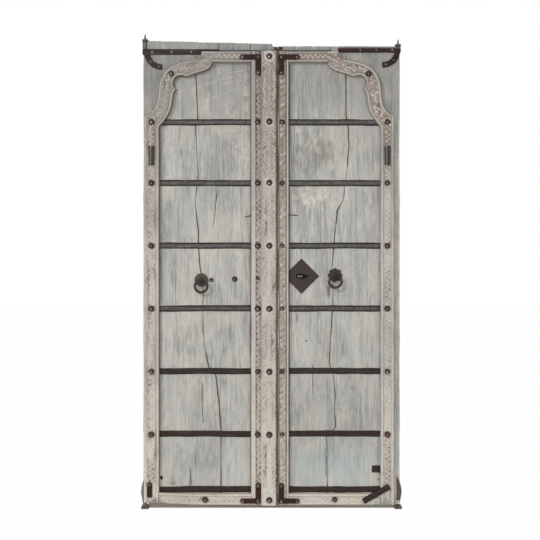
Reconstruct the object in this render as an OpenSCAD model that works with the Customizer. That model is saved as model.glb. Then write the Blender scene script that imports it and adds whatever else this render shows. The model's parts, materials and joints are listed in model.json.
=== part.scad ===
// Carved double temple door: two boarded leaves with carved frames, iron straps and studs,
// turning on forged corner pivots in a plain timber frame that stands behind them.
// Front faces -Y, up is +Z, sizes in millimetres, floor at Z = 0.
// Leaf modules use their own axes: X from the panel's outer edge towards the meeting line,
// Y = 0 on the boards' front face, Z from the foot of the leaf.

/* [Leaves] */
// clear width of the recessed panel of each leaf
panel_w = 405; // [360:1:460]
// width of the left leaf's outer stile
left_stile_w = 66; // [54:1:84]
// width of the right leaf's outer stile
right_stile_w = 58; // [54:1:84]
// width of the stile beside the meeting line
inner_stile_w = 45; // [40:1:56]
// width of the carved centre post
post_w = 70; // [62:1:84]
// bare board outside the left leaf's outer stile
left_margin = 4; // [3:1:40]
// bare board outside the right leaf's outer stile
right_margin = 27; // [3:1:40]
// gap between the centre post and the right leaf
meeting_gap = 4.5; // [3:0.5:8]
// play between the boards of the two leaves, behind that gap
meeting_play = 0.75; // [0.5:0.05:1.5]
// height of the carved frame on each leaf
frame_h = 1993; // [1880:1:2100]
// board standing above the carved frame, left leaf, at its outer edge
left_board_rise = 46; // [40:1:60]
// fall of the left leaf's board top towards the meeting line
left_board_fall = 15; // [0:1:18]
// board standing above the carved frame, right leaf
right_board_rise = 24; // [22:1:40]
// thickness of the boards
board_t = 28; // [24:1:36]
// thickness of the carved stiles and rails
stile_t = 24; // [20:1:32]
// thickness of the centre post
post_t = 40; // [34:1:50]
// height of the top and bottom rails
rail_h = 48; // [44:1:60]
// height of the leaves' feet above the floor
leaf_lift = 22; // [20:1:30]
// width of the split in the boards
split_gap = 3; // [2:0.5:5]

/* [Arch braces] */
// reach of the arch along the top rail
arch_reach = 232; // [200:1:260]
// height of the arch brace below the frame's top
arch_h = 342; // [320:1:380]
// radius of the round lobe between the two cusps
lobe_r = 35; // [30:1:38]

/* [Carving] */
// depth of the carved cuts
carve_deep = 3; // [2:0.5:5]
// pitch of the zigzag on the outer stiles and rails
zigzag_pitch = 23; // [18:1:32]
// pitch of the triangles on the inner stiles
triangle_pitch = 24; // [12:1:30]
// pitch of the leaf strokes on the centre post
leaf_pitch = 13.5; // [12:0.5:18]
// width of the plain border beside a carved band
border_w = 8; // [6:1:12]
// height and depth of the shadow rebate under the frame's edges
rebate = 7; // [5:1:9]

/* [Iron] */
// height of the cross straps
strap_w = 27; // [22:1:32]
// thickness of straps and plates
iron_t = 5; // [4:0.5:7]
// number of straps above the bottom one
strap_count = 6; // [4:1:8]
// height of the lowest of these straps above the foot
strap_first = 310; // [260:1:340]
// how much closer the uppermost strap is to the one below it
row_drop = 8; // [0:0.5:15]
// radius of the stud heads
stud_r = 13; // [10:0.5:15]
// height of the stud heads
stud_h = 10; // [8:0.5:12]
// thickness of the studs' square shanks
shank_w = 7; // [5:0.5:8]
// radius of the nail heads on straps and irons
nail_r = 9; // [7:0.5:10]
// arm length of the corner irons
corner_len = 92; // [80:1:110]
// arm width of the corner irons
corner_w = 23; // [18:1:25]

/* [Pivots] */
// distance of the pivot line from the boards' outer edge
pivot_in = 6; // [4:0.5:8]
// radius of the pivot pins
pin_r = 5; // [4:0.5:6]
// radius of the forged root of each pin
root_r = 8.5; // [7.5:0.5:9]
// play between a pin and its eye or cup
pin_play = 0.05; // [0.02:0.01:0.08]
// length of the left top strap
left_strap_l = 330; // [280:1:350]
// length of the right top strap
right_strap_l = 270; // [240:1:350]
// height of the top straps
top_strap_w = 21; // [18:1:24]
// radius of the curved arms
arm_r = 66; // [60:1:72]
// height of the bottom pivot blades
blade_h = 128; // [110:1:150]
// thickness of the bottom pivot blades
blade_t = 12; // [10:1:14]

/* [Handles and lock] */
// height of the left ring's plate above the middle of its two straps
left_plate_up = -12.5; // [-20:0.5:20]
// height of the right ring's plate above the middle of its two straps
right_plate_up = 8.5; // [-20:0.5:20]
// distance of the left ring's plate from the panel's middle, outwards
left_plate_out = 17.5; // [0:0.5:30]
// distance of the right ring's plate from the panel's middle, outwards
right_plate_out = 2.5; // [0:0.5:30]
// gap between the left ring's plate and the nail beside it
plate_nail_gap = 2.8; // [1:0.1:6]
// radius of the ring plates
plate_r = 30; // [26:1:36]
// thickness of a ring's round bar
ring_bar = 11; // [9:0.5:12]
// radius of the rings to the middle of the bar
ring_r = 27; // [24:0.5:32]
// half diagonal of the lock plate
lock_half = 78; // [66:1:86]
// thickness of the lock plate and ring plates
plate_t = 4; // [3:0.5:5]

/* [Timber frame] */
// width of the jambs, seen from the front
jamb_w = 60; // [50:1:80]
// depth of the frame, front to back
frame_d = 70; // [60:1:100]
// height of the lintel
lintel_h = 64; // [56:1:90]
// height of the sill
sill_h = 56; // [50:1:80]
// distance of the jambs from the boards' outer edge
jamb_in = 18; // [12:1:30]
// gap between the leaves' backs and the frame
leaf_gap = 3; // [2.5:0.5:5]
// length of the jamb tenons
tenon_l = 34; // [26:1:40]
// play of wood in wood and shank in wood, each side
fit_play = 0.2; // [0.1:0.05:0.4]
// height of the ledges across the backs
ledge_h = 70; // [60:1:90]
// thickness of the ledges
ledge_t = 20; // [16:1:24]
// radius of the fixing holes through the jambs
fix_r = 5; // [4:0.5:7]

/* [Hidden] */
$fn = 48;
LEFT = 0;
RIGHT = 1;
stile_w = [left_stile_w, right_stile_w];
margin = [left_margin, right_margin];
rise = [left_board_rise, right_board_rise];
fall = [left_board_fall, 0];
strap_l = [left_strap_l, right_strap_l];
total_w = margin[0] + stile_w[0] + 2 * panel_w + 2 * inner_stile_w + post_w + meeting_gap
    + stile_w[1] + margin[1];
half_w = total_w / 2;
left_x0 = -half_w + margin[0] + stile_w[0];
right_x0 = half_w - margin[1] - stile_w[1];
face_y = -frame_d / 2 - leaf_gap - board_t;
pivot_y = face_y + board_t / 2;
pivot_x = half_w - pivot_in;
u_out = [for (s = [LEFT, RIGHT]) -stile_w[s] - margin[s]];
u_pivot = [for (s = [LEFT, RIGHT]) u_out[s] + pivot_in];
u_stud = [for (s = [LEFT, RIGHT]) -stile_w[s] / 2];
u_meet = panel_w + inner_stile_w;
u_end = [u_meet + post_w + meeting_gap - meeting_play, u_meet];
u_inner = panel_w + inner_stile_w * 0.64;
u_post = u_meet + post_w / 2;
foot_z = frame_h - arch_h;
strap_top = foot_z + 32;
strap_pitch = (strap_top + row_drop - strap_first) / (strap_count - 1);
rows = [for (i = [0 : strap_count - 1]) i < strap_count - 1 ? strap_first + i * strap_pitch : strap_top];
plate_mid_z = rows[floor((strap_count - 1) / 2)] + strap_pitch / 2;
left_plate_z = plate_mid_z + left_plate_up;
right_plate_z = plate_mid_z + right_plate_up;
left_plate_u = panel_w / 2 - left_plate_out;
right_plate_u = panel_w / 2 - right_plate_out;
plate_z = [left_plate_z, right_plate_z];
plate_u = [left_plate_u, right_plate_u];
strap_low = rail_h + strap_w / 2 + 4;
notch_w = pivot_in + root_r + 2;
// middle of each top strap: on the left it lies half behind the rail, on the right just above it
top_strap_z = [frame_h, frame_h + top_strap_w / 2 - 1];
strap_back = iron_t + 0.4;
board_mid = -board_t / 2;
eye_gap = 4;
eye_t = 8;
board_top_z = [for (s = [LEFT, RIGHT]) leaf_lift + frame_h + rise[s]];
lintel_top = leaf_lift + frame_h + right_board_rise - 4;
lintel_low = lintel_top - lintel_h;
cup_t = 10;
cup_floor = 3;
jamb_x = half_w - jamb_in;
jamb_inner = jamb_x - jamb_w;

// the wandering split of each leaf, as shares of the panel's width and the frame's height
split_line = [
    [[0.40, 1.03], [0.41, 0.94], [0.43, 0.78], [0.44, 0.71], [0.41, 0.67], [0.45, 0.57], [0.49, 0.50],
     [0.51, 0.38], [0.57, 0.30], [0.67, 0.25], [0.70, 0.16], [0.71, 0]],
    [[0.37, 1.03], [0.38, 0.85], [0.34, 0.80], [0.37, 0.71], [0.39, 0.67], [0.46, 0.64], [0.50, 0.52],
     [0.52, 0.42], [0.54, 0.31], [0.47, 0.23], [0.56, 0.14], [0.55, 0]]];

foot_iron_u = u_stud[LEFT] - 8;
foot_iron_w = 23;
foot_iron_h = 74;
foot_iron_z = 70;
// studs and nails of each leaf: place across, height, level they sit on, head radius
rail_mid = rail_h / 2;
arch_stud = [0.23 * arch_reach, frame_h - 0.285 * arch_h];
iron_top = stile_t + iron_t;
corner_out = u_meet - 2;
corner_mid = corner_out - corner_w / 2;
corner_far = corner_out - corner_len + corner_w / 2;
corner_hi = frame_h - 14 - corner_w / 2;
corner_lo = 6 + corner_w / 2;
corner_nails = [
    for (c = [[corner_hi, -1], [corner_lo, 1]])
        each [[corner_mid, c[0], iron_top, nail_r], [corner_far, c[0], iron_top, nail_r],
              [corner_mid, c[0] + c[1] * (corner_len - corner_w), iron_top, nail_r]]];
frame_studs = [
    for (s = [LEFT, RIGHT])
        concat(
            [for (z = rows) each [[u_stud[s], z, stile_t, stud_r], [u_inner, z, stile_t, stud_r]]],
            [[arch_stud[0], arch_stud[1], stile_t, stud_r], [panel_w / 2, rail_mid, stile_t, stud_r]],
            corner_nails)];
post_studs = [for (z = concat(rows, [frame_h - rail_mid, rail_mid])) [u_post, z, post_t, stud_r]];
left_extra = [
    [left_plate_u + plate_r + nail_r + 2 + plate_nail_gap, left_plate_z, 0, nail_r + 2],
    [panel_w * 0.82, left_plate_z + 4, 0, stud_r],
    [u_inner, left_plate_z + 8, stile_t, nail_r],
    [foot_iron_u, foot_iron_z + foot_iron_h * 0.28, iron_top, nail_r]];
strap_nails = [
    for (s = [LEFT, RIGHT])
        [for (k = [0.12, 0.38, 0.64]) [u_out[s] + k * strap_l[s], top_strap_z[s], iron_t, nail_r - 1]]];
studs = [concat(frame_studs[LEFT], post_studs, left_extra, strap_nails[LEFT]),
    concat(frame_studs[RIGHT], strap_nails[RIGHT])];
stile_plate_z = frame_h * 0.77;
// where the carving of the outer stiles and of the arches starts, above the foot of each
carve_foot = 110;
arch_carve_foot = 60;
stile_plate = [26, 84];
bar_l = 132;
bar_w = 26;
bar_mid = [20, rail_h + 1];
patch = [36, 31];
patch_z = 155;
lock_u = panel_w - lock_half * 0.73;
lock_z = right_plate_z - 4;
slot_l = 50;
slot_h = 16;
boss_h = 6;
eye_bar = 4;
eye_hole = ring_bar / 2 + 1.2;
eye_d = plate_t + boss_h + eye_hole + eye_bar * 2 - 0.5;
ring_drop = 0.7;
ledge_rows = [0.075, 0.46, 0.90];
jamb_fix = [400, 1600];
peg_r = 6;

wood = [0.72, 0.70, 0.66];
beige = [0.76, 0.71, 0.65];
iron = [0.24, 0.21, 0.20];
plain = [0.60, 0.56, 0.50];

// Helpers

// point on a cubic curve
function cubic(p, t) = pow(1 - t, 3) * p[0] + 3 * pow(1 - t, 2) * t * p[1]
    + 3 * (1 - t) * t * t * p[2] + pow(t, 3) * p[3];
// points along a cubic curve, without its last one
function run(p, n) = [for (i = [0 : n - 1]) cubic(p, i / n)];
// place on the arch, as shares of its reach and height
function on_arch(a, b) = [a * arch_reach, frame_h - b * arch_h];
// height of a leaf's board top at a distance across
function top_at(s, u) = frame_h + rise[s] - fall[s] * (u - u_out[s]) / (u_end[s] - u_out[s]);
// a leaf's split at a given shift to one side
function split_at(s, d) = [for (p = split_line[s])
    [p[0] * panel_w + d, p[1] > 1 ? top_at(s, p[0] * panel_w) : p[1] * frame_h]];

lobe_c = on_arch(0.414, 0.409);
cusp_hi = lobe_c + lobe_r * [cos(51), sin(51)];
cusp_lo = lobe_c + lobe_r * [cos(223), sin(223)];
// panel side of the arch, from the rail down to the stile
arch_inner = concat(
    run([[arch_reach, frame_h - rail_h], on_arch(0.99, 0.263), on_arch(0.74, 0.257), cusp_hi], 7),
    [for (i = [0 : 7]) lobe_c + lobe_r * [cos(51 + i * 21.5), sin(51 + i * 21.5)]],
    run([cusp_lo, on_arch(0.142, 0.556), on_arch(0.319, 0.702), on_arch(0, 0.965)], 9),
    [on_arch(0, 0.965)]);
// outer side of the arch, from the rail's top down to the stile's outer edge
function arch_outer(s) = concat(
    run([on_arch(0.806, 0), on_arch(0.793, 0.076), on_arch(0.759, 0.099), on_arch(0.69, 0.111)], 4),
    run([on_arch(0.69, 0.111), on_arch(0.31, 0.14), on_arch(0.06, 0.205), on_arch(0.009, 0.439)], 8),
    run([on_arch(0.009, 0.439), on_arch(-0.026, 0.643), on_arch(0, 0.754),
        [-stile_w[s], frame_h - 0.839 * arch_h]], 8),
    [[-stile_w[s], frame_h - 0.839 * arch_h]]);
function arch_outline(s) = concat(
    [[arch_reach, frame_h]], arch_outer(s), [[-stile_w[s], foot_z], [0, foot_z]],
    [for (i = [len(arch_inner) - 1 : -1 : 0]) arch_inner[i]]);
// middle of the carved band of the arch
function arch_mid(s, t) = cubic(t < 0.5
    ? [on_arch(0.86, 0.09), on_arch(0.62, 0.19), on_arch(0.26, 0.17), on_arch(0.14, 0.42)]
    : [on_arch(0.14, 0.42), on_arch(0.10, 0.55), on_arch(0.17, 0.68), [-stile_w[s] / 2, foot_z + arch_carve_foot]],
    t < 0.5 ? t * 2 : t * 2 - 1);

// stands a leaf in its place
module leaf(s) {
    if (s == LEFT)
        translate([left_x0, face_y, leaf_lift]) children();
    else
        translate([right_x0, face_y, leaf_lift]) mirror([1, 0, 0]) children();
}

// raises a flat shape from one level above the boards' face to another
module slab(from, to) {
    translate([0, -from, 0]) rotate([90, 0, 0]) linear_extrude(to - from) children();
}

module box2(u0, z0, u1, z1) {
    translate([u0, z0]) square([u1 - u0, z1 - z0]);
}

// square shanks of a leaf's studs, or the holes for them
module shanks(s, grow) {
    for (p = studs[s])
        slab(-board_t - (grow > 0 ? 1 : 0), p[2] + (grow > 0 ? 1 : 0.01))
            translate([p[0], p[1]]) square(shank_w + 2 * grow, center = true);
}

// straps of a leaf, or the rebates for them
module strap_rebates(s) {
    for (z = concat(rows, [strap_low]))
        slab(-1, strap_back)
            box2(-stile_w[s] + 5, z - strap_w / 2 - 0.5, u_meet - 5, z + strap_w / 2 + 0.5);
}

// row of triangles cut along a stile, standing on one side and pointing to the other
module triangles_up(base, tip, z0, z1, pitch, shift) {
    n = floor((z1 - z0) / pitch);
    polygon(
        [for (i = [0 : n - 1]) let (z = z0 + (i + shift) * pitch)
            each [[base, z + 2], [tip, z + pitch / 2], [base, z + pitch - 2]]],
        [for (i = [0 : n - 1]) [3 * i, 3 * i + 1, 3 * i + 2]]);
}

// pointed leaf strokes: each has its middle and its direction
module strokes(list, length, width) {
    polygon(
        [for (p = list) let (d = [cos(p[2]), sin(p[2])], n = [-d[1], d[0]], c = [p[0], p[1]])
            each [c - d * length / 2, c + n * width / 2, c + d * length / 2, c - n * width / 2]],
        [for (i = [0 : len(list) - 1]) [4 * i, 4 * i + 1, 4 * i + 2, 4 * i + 3]]);
}

// Leaf woodwork

module board(s, outer) {
    color(wood) leaf(s) difference() {
        union() {
            for (layer = [[-board_t, board_mid, 0.3], [board_mid, 0, split_gap / 2]])
                slab(layer[0], layer[1])
                    polygon(outer
                        ? concat([[u_out[s], 0], [u_out[s], top_at(s, u_out[s])]], split_at(s, -layer[2]))
                        : concat([[u_end[s], 0], [u_end[s], top_at(s, u_end[s])]], split_at(s, layer[2])));
        }
        shanks(s, fit_play);
        if (outer) {
            slab(-board_t - 1, 1)
                box2(u_out[s] - 1, top_strap_z[s] - top_strap_w / 2 - 0.5, u_out[s] + notch_w,
                    frame_h + 2 * rise[s]);
            slab(-board_t - 1, 1) box2(u_out[s] - 1, -1, u_out[s] + notch_w, blade_h + 1);
        }
        slab(-board_t - 1, 1) translate([plate_u[s], plate_z[s]])
            square(shank_w + 2 * fit_play, center = true);
        if (s == RIGHT)
            staple_legs(fit_play);
    }
}

module outer_stile(s) {
    w = stile_w[s];
    color(beige) leaf(s) difference() {
        linear_extrude(foot_z) polygon([
            [-w, 0], [-w, 2 - stile_t], [-w + 2, -stile_t], [-w + border_w, -stile_t],
            [-w + border_w + 1.5, 2.5 - stile_t], [-w + border_w + 3, -stile_t],
            [-border_w - 6, -stile_t], [-border_w - 4.5, 2.5 - stile_t], [-border_w - 3, -stile_t],
            [-5, -stile_t], [0, 5 - stile_t], [0, -rebate], [-rebate, -rebate], [-rebate, 0]]);
        zigzag(-w + border_w + 4, -border_w - 7, carve_foot, foot_z - 8);
        strap_rebates(s);
        shanks(s, fit_play);
    }
}

// two facing rows of triangles that leave a zigzag ridge between them
module zigzag(u0, u1, z0, z1) {
    mid = (u0 + u1) / 2;
    slab(stile_t - carve_deep, stile_t + 1) {
        triangles_up(u0, mid + 3, z0, z1 - zigzag_pitch, zigzag_pitch, 0);
        triangles_up(u1, mid - 3, z0, z1 - zigzag_pitch, zigzag_pitch, 0.5);
    }
}

module arch_brace(s) {
    color(beige) leaf(s) difference() {
        union() {
            slab(0, rebate) offset(delta = -rebate) polygon(arch_outline(s));
            slab(rebate, stile_t) polygon(arch_outline(s));
            slab(0, stile_t) box2(-stile_w[s], foot_z, -rebate, foot_z + 40);
        }
        slab(stile_t - 2, stile_t + 1) difference() {
            offset(delta = -border_w) polygon(arch_outline(s));
            offset(delta = -border_w - 2.5) polygon(arch_outline(s));
        }
        slab(stile_t - carve_deep, stile_t + 1)
            strokes([for (i = [0 : 21]) let (t = i / 21.01, p = arch_mid(s, t),
                d = arch_mid(s, min(t + 0.01, 1)) - p)
                [p[0], p[1], atan2(d[1], d[0]) + (i % 2 == 0 ? 52 : -52)]], 21, 6);
        strap_rebates(s);
        shanks(s, fit_play);
        top_strap_space(s);
    }
}

module top_rail(s) {
    color(beige) leaf(s) difference() {
        translate([arch_reach, 0, 0]) rotate([90, 0, 90]) linear_extrude(panel_w - arch_reach)
            polygon(rail_section(frame_h, -1, rebate));
        rail_zigzag(arch_reach + 4, corner_out - corner_len - 4, frame_h - rail_h);
        shanks(s, fit_play);
        top_strap_space(s);
    }
}

module bottom_rail(s) {
    color(beige) leaf(s) difference() {
        rotate([90, 0, 90]) linear_extrude(panel_w) polygon(rail_section(0, 1, 0));
        rail_zigzag(s == LEFT ? 6 : bar_l * 0.7, corner_out - corner_len - 4, 0);
        strap_rebates(s);
        shanks(s, fit_play);
    }
}

// section of a rail from its outer edge towards the panel
function rail_section(z, way, back) = [
    [0, z + way * back], [-back, z + way * back], [-back, z], [-stile_t, z],
    [-stile_t, z + way * (rail_h - border_w - 3)], [2.5 - stile_t, z + way * (rail_h - border_w - 1.5)],
    [-stile_t, z + way * (rail_h - border_w)], [-stile_t, z + way * (rail_h - 4)],
    [4 - stile_t, z + way * rail_h], [-rebate, z + way * rail_h],
    [-rebate, z + way * (rail_h - rebate)], [0, z + way * (rail_h - rebate)]];

// chevrons along a rail
module rail_zigzag(u0, u1, z) {
    n = floor((u1 - u0) / zigzag_pitch * 2);
    slab(stile_t - carve_deep, stile_t + 1)
        strokes([for (i = [0 : n - 1]) [u0 + (i + 0.5) * zigzag_pitch / 2, z + rail_h / 2,
            i % 2 == 0 ? 62 : -62]], 20, 6);
}

module inner_stile(s) {
    u = panel_w;
    lip = 14;
    color(beige) leaf(s) difference() {
        linear_extrude(frame_h) polygon([
            [u + rebate, 0], [u + rebate, -rebate], [u, -rebate], [u, 6 - stile_t], [u + 5, 2 - stile_t],
            [u + lip - 3, 2 - stile_t], [u + lip, 6 - stile_t], [u + lip + 3, -stile_t],
            [u_meet, -stile_t], [u_meet, 0]]);
        slab(stile_t - carve_deep, stile_t + 1)
            triangles_up(u + lip + 5, u_meet - 4, corner_len + 14, frame_h - corner_len - 20,
                triangle_pitch, 0);
        strap_rebates(s);
        shanks(s, fit_play);
    }
}

module centre_post() {
    w = post_w;
    h = w / 2;
    lines = concat([rail_mid], rows, [frame_h - rail_mid]);
    spread = 0.245 * w;
    color(beige) leaf(LEFT) difference() {
        translate([u_post, 0, 0]) linear_extrude(frame_h) polygon([
            [-h, 0], [-h, 4 - post_t], [-h + 4, -post_t], [-h + 6, -post_t], [-h + 7.5, 2.5 - post_t],
            [-h + 9, -post_t], [h - 9, -post_t], [h - 7.5, 2.5 - post_t], [h - 6, -post_t],
            [h - 4, -post_t], [h, 4 - post_t], [h, 0]]);
        for (i = [0 : len(lines) - 2])
            post_bay(lines[i], lines[i + 1], spread);
        shanks(LEFT, fit_play);
    }
}

// leaf strokes between two studs: pointing up in the upper half, down in the lower, with cross lines
module post_bay(z0, z1, spread) {
    clear = 40;
    mid = (z0 + z1) / 2;
    n = floor((z1 - z0 - 2 * clear) / 2 / leaf_pitch);
    slab(post_t - carve_deep, post_t + 1)
        strokes([for (k = [0 : n - 1], side = [-1, 1], up = [-1, 1])
            [u_post + side * spread, mid + up * (k + 0.5) * leaf_pitch, 90 - up * side * -38]], 20, 6.5);
    slab(post_t - 2, post_t + 1)
        for (z = [z0 + clear - 12, z1 - clear + 12])
            translate([u_post, z]) square([post_w - 24, 3], center = true);
}

module ledges(s) {
    from = (s == LEFT ? -jamb_inner - left_x0 : right_x0 - jamb_inner) + 8;
    color(plain) leaf(s) for (k = ledge_rows)
        slab(-board_t - ledge_t, -board_t)
            box2(from, k * frame_h - ledge_h / 2, u_meet - 8, k * frame_h + ledge_h / 2);
}

// Leaf ironwork

module cross_straps(s) {
    color(iron) leaf(s) difference() {
        for (z = concat(rows, [strap_low]))
            translate([-stile_w[s] + 6, 0, z]) rotate([90, 0, 90])
                linear_extrude(u_meet - 6 + stile_w[s] - 6) polygon([
                    [0, -strap_w / 2], [2 - iron_t, -strap_w / 2], [-iron_t, 4 - strap_w / 2],
                    [-iron_t, strap_w / 2 - 4], [2 - iron_t, strap_w / 2], [0, strap_w / 2]]);
        shanks(s, fit_play);
    }
}

// room for the top strap behind the carved frame
module top_strap_space(s) {
    slab(-1, strap_back) box2(u_out[s] - 10, top_strap_z[s] - top_strap_w / 2 - 0.5,
        u_out[s] + strap_l[s] + 2, frame_h + 1);
}

module top_pivot(s) {
    z = top_strap_z[s];
    top = frame_h + rise[s] + 1;
    arm_u = u_out[s] + (s == LEFT ? 15 : 9) + arm_r;
    color(iron) leaf(s) difference() {
        union() {
            slab(0, iron_t) box2(u_out[s] - 3, z - top_strap_w / 2, u_out[s] + strap_l[s],
                z + top_strap_w / 2);
            slab(0, iron_t) translate([arm_u, z]) intersection() {
                difference() {
                    circle(arm_r + top_strap_w / 2);
                    circle(arm_r - top_strap_w / 2);
                }
                translate([-2 * arm_r, -2 * arm_r]) square(2 * arm_r);
            }
            slab(board_mid, iron_t / 2) box2(u_pivot[s] - root_r + 1, z - top_strap_w / 2,
                u_pivot[s] + root_r - 1, z + top_strap_w / 2);
            translate([u_pivot[s], -board_mid, z - top_strap_w / 2])
                cylinder(r = root_r, h = top - z + top_strap_w / 2);
            translate([u_pivot[s], -board_mid, top - 1]) cylinder(r = pin_r, h = eye_gap + eye_t + 3);
            translate([u_pivot[s], -board_mid, top + eye_gap + eye_t + 2])
                cylinder(r1 = pin_r, r2 = 1.5, h = 22);
        }
        shanks(s, fit_play);
    }
}

// leaf-shaped blade let into the boards' edge, with the pin that turns in the floor cup
module bottom_pivot(s) {
    inner = -root_r;
    color(iron) leaf(s) union() {
        translate([u_pivot[s], -board_mid + blade_t / 2, 0]) rotate([90, 0, 0]) linear_extrude(blade_t)
            polygon(concat(
                run([[-inner, blade_h], [-2, blade_h * 0.86], [-19, blade_h * 0.6], [-14, 44]], 7),
                run([[-14, 44], [-12, 30], [-root_r, 20], [-root_r, 4]], 4),
                [[-root_r, 4], [root_r, 4], [root_r, 40]]));
        translate([u_pivot[s], -board_mid, -9]) cylinder(r1 = pin_r, r2 = root_r - 1, h = 14);
        translate([u_pivot[s], -board_mid, cup_floor + 0.3 - leaf_lift])
            cylinder(r = pin_r, h = leaf_lift - cup_floor);
    }
}

// corner iron: heights of its level arm and of its far end
module corner_iron(s, z, way) {
    color(iron) leaf(s) difference() {
        slab(stile_t, iron_top) union() {
            box2(corner_out - corner_len, z - corner_w / 2, corner_out, z + corner_w / 2);
            translate([corner_out - corner_w, way > 0 ? z - corner_w / 2
                : z + corner_w / 2 - corner_len]) square([corner_w, corner_len]);
        }
        shanks(s, fit_play);
    }
}

module foot_iron() {
    color(iron) leaf(LEFT) difference() {
        slab(stile_t, iron_top) translate([foot_iron_u, foot_iron_z])
            square([foot_iron_w, foot_iron_h], center = true);
        shanks(LEFT, fit_play);
    }
}

module stile_plate(s) {
    color(iron) leaf(s) slab(stile_t, stile_t + plate_t) translate([u_stud[s], stile_plate_z])
        square(stile_plate, center = true);
}

module foot_bar() {
    color(iron) leaf(RIGHT) slab(stile_t, stile_t + iron_t + 2) translate(bar_mid) rotate(-30)
        square([bar_l, bar_w], center = true);
}

module patch_plate() {
    color(iron) leaf(RIGHT) slab(0, plate_t) translate([2, patch_z - patch[1] / 2]) square(patch);
}

module stud_set(s) {
    color(iron) leaf(s) {
        for (p = studs[s])
            translate([p[0], -p[2], p[1]]) rotate([90, 0, 0]) stud(p[3], p[2] + board_t);
    }
}

// round-headed stud on a square shank
module stud(r, reach) {
    h = stud_h * r / stud_r;
    ball = (r * r + h * h) / (2 * h);
    union() {
        rotate_extrude() intersection() {
            translate([0, h - ball]) circle(ball);
            square([r + 1, h + 1]);
        }
        translate([-shank_w / 2, -shank_w / 2, -reach]) cube([shank_w, shank_w, reach + h / 2]);
    }
}

// Handles and lock

module ring_plate(s) {
    color(iron) leaf(s) translate([plate_u[s], 0, plate_z[s]]) rotate([90, 0, 0]) difference() {
        union() {
            linear_extrude(plate_t) union() {
                circle(s == LEFT ? plate_r : plate_r - 5);
                if (s == RIGHT)
                    for (a = [0 : 45 : 315])
                        rotate(a) translate([plate_r - 7, 0]) circle(9);
            }
            translate([0, 0, plate_t - 1]) cylinder(r1 = plate_r * 0.6, r2 = plate_r * 0.4, h = boss_h + 1);
        }
        translate([0, 0, -1]) linear_extrude(plate_t + boss_h + 2)
            square(shank_w + 2 * fit_play, center = true);
    }
}

module ring_eye(s) {
    color(iron) leaf(s) translate([plate_u[s], -eye_d, plate_z[s]]) union() {
        rotate([0, 90, 0]) rotate_extrude() translate([eye_hole + eye_bar, 0]) circle(eye_bar);
        rotate([-90, 0, 0]) translate([-shank_w / 2, -shank_w / 2, eye_hole + eye_bar])
            cube([shank_w, shank_w, eye_d + board_t - eye_hole - eye_bar]);
    }
}

module ring(s) {
    color(iron) leaf(s) translate([plate_u[s], -eye_d, plate_z[s] - ring_drop - ring_r])
        rotate([90, 0, 0]) rotate_extrude() translate([ring_r, 0]) circle(ring_bar / 2);
}

module lock_plate() {
    color(iron) leaf(RIGHT) difference() {
        slab(0, plate_t) intersection() {
            translate([lock_u, lock_z]) rotate(45) square(lock_half * sqrt(2), center = true);
            box2(0, 0, panel_w - 1, frame_h);
        }
        slab(-1, plate_t + 1) translate([lock_u - 3, lock_z]) {
            square([slot_l - slot_h, slot_h], center = true);
            for (k = [-1, 1])
                translate([k * (slot_l - slot_h) / 2, 0]) circle(slot_h / 2);
        }
    }
}

staple_bar = 8;
staple_gap = 9;
staple_u = lock_u + 7;

// two legs of the staple, or the holes for them
module staple_legs(grow) {
    for (k = [-1, 1])
        translate([staple_u + k * (staple_gap + staple_bar) / 2, grow > 0 ? -1 : 0, lock_z])
            rotate([-90, 0, 0]) cylinder(r = staple_bar / 2 + grow, h = board_t + (grow > 0 ? 2 : 0));
}

module lock_staple() {
    reach = 16;
    color(iron) leaf(RIGHT) union() {
        staple_legs(0);
        for (k = [-1, 1])
            translate([staple_u + k * (staple_gap + staple_bar) / 2, -reach, lock_z])
                rotate([-90, 0, 0]) cylinder(r = staple_bar / 2, h = reach + 1);
        translate([staple_u, -reach, lock_z]) rotate([0, 0, 180])
            rotate_extrude(angle = 180) translate([(staple_gap + staple_bar) / 2, 0])
                circle(staple_bar / 2);
    }
}

// Timber frame

module jamb(way) {
    tenon = [jamb_w * 0.6, frame_d * 0.4];
    color(plain) difference() {
        union() {
            translate([way * (jamb_x - jamb_w / 2) - jamb_w / 2, -frame_d / 2, sill_h])
                cube([jamb_w, frame_d, lintel_low - sill_h]);
            translate([way * (jamb_x - jamb_w / 2) - tenon[0] / 2, -tenon[1] / 2, sill_h - tenon_l])
                cube([tenon[0], tenon[1], lintel_low - sill_h + 2 * tenon_l]);
        }
        for (z = jamb_fix)
            translate([way * (jamb_x - jamb_w / 2), 0, z]) rotate([0, 90, 0])
                cylinder(r = fix_r, h = jamb_w + 2, center = true);
        peg_holes();
    }
}

module tenon_holes(z) {
    tenon = [jamb_w * 0.6 + 2 * fit_play, frame_d * 0.4 + 2 * fit_play];
    for (way = [-1, 1])
        translate([way * (jamb_x - jamb_w / 2) - tenon[0] / 2, -tenon[1] / 2, z])
            cube([tenon[0], tenon[1], tenon_l + 1]);
}

module peg_holes() {
    for (way = [-1, 1], z = [sill_h - tenon_l / 2, lintel_low + tenon_l / 2])
        translate([way * (jamb_x - jamb_w / 2), 0, z]) rotate([90, 0, 0])
            cylinder(r = peg_r + fit_play, h = frame_d + 2, center = true);
}

module frame_pegs() {
    color(plain) for (way = [-1, 1], z = [sill_h - tenon_l / 2, lintel_low + tenon_l / 2])
        translate([way * (jamb_x - jamb_w / 2), 0, z]) rotate([90, 0, 0])
            cylinder(r = peg_r, h = frame_d, center = true);
}

module lintel() {
    color(plain) difference() {
        translate([-jamb_x, -frame_d / 2, lintel_low]) cube([2 * jamb_x, frame_d, lintel_h]);
        tenon_holes(lintel_low - 1);
        peg_holes();
    }
}

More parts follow.
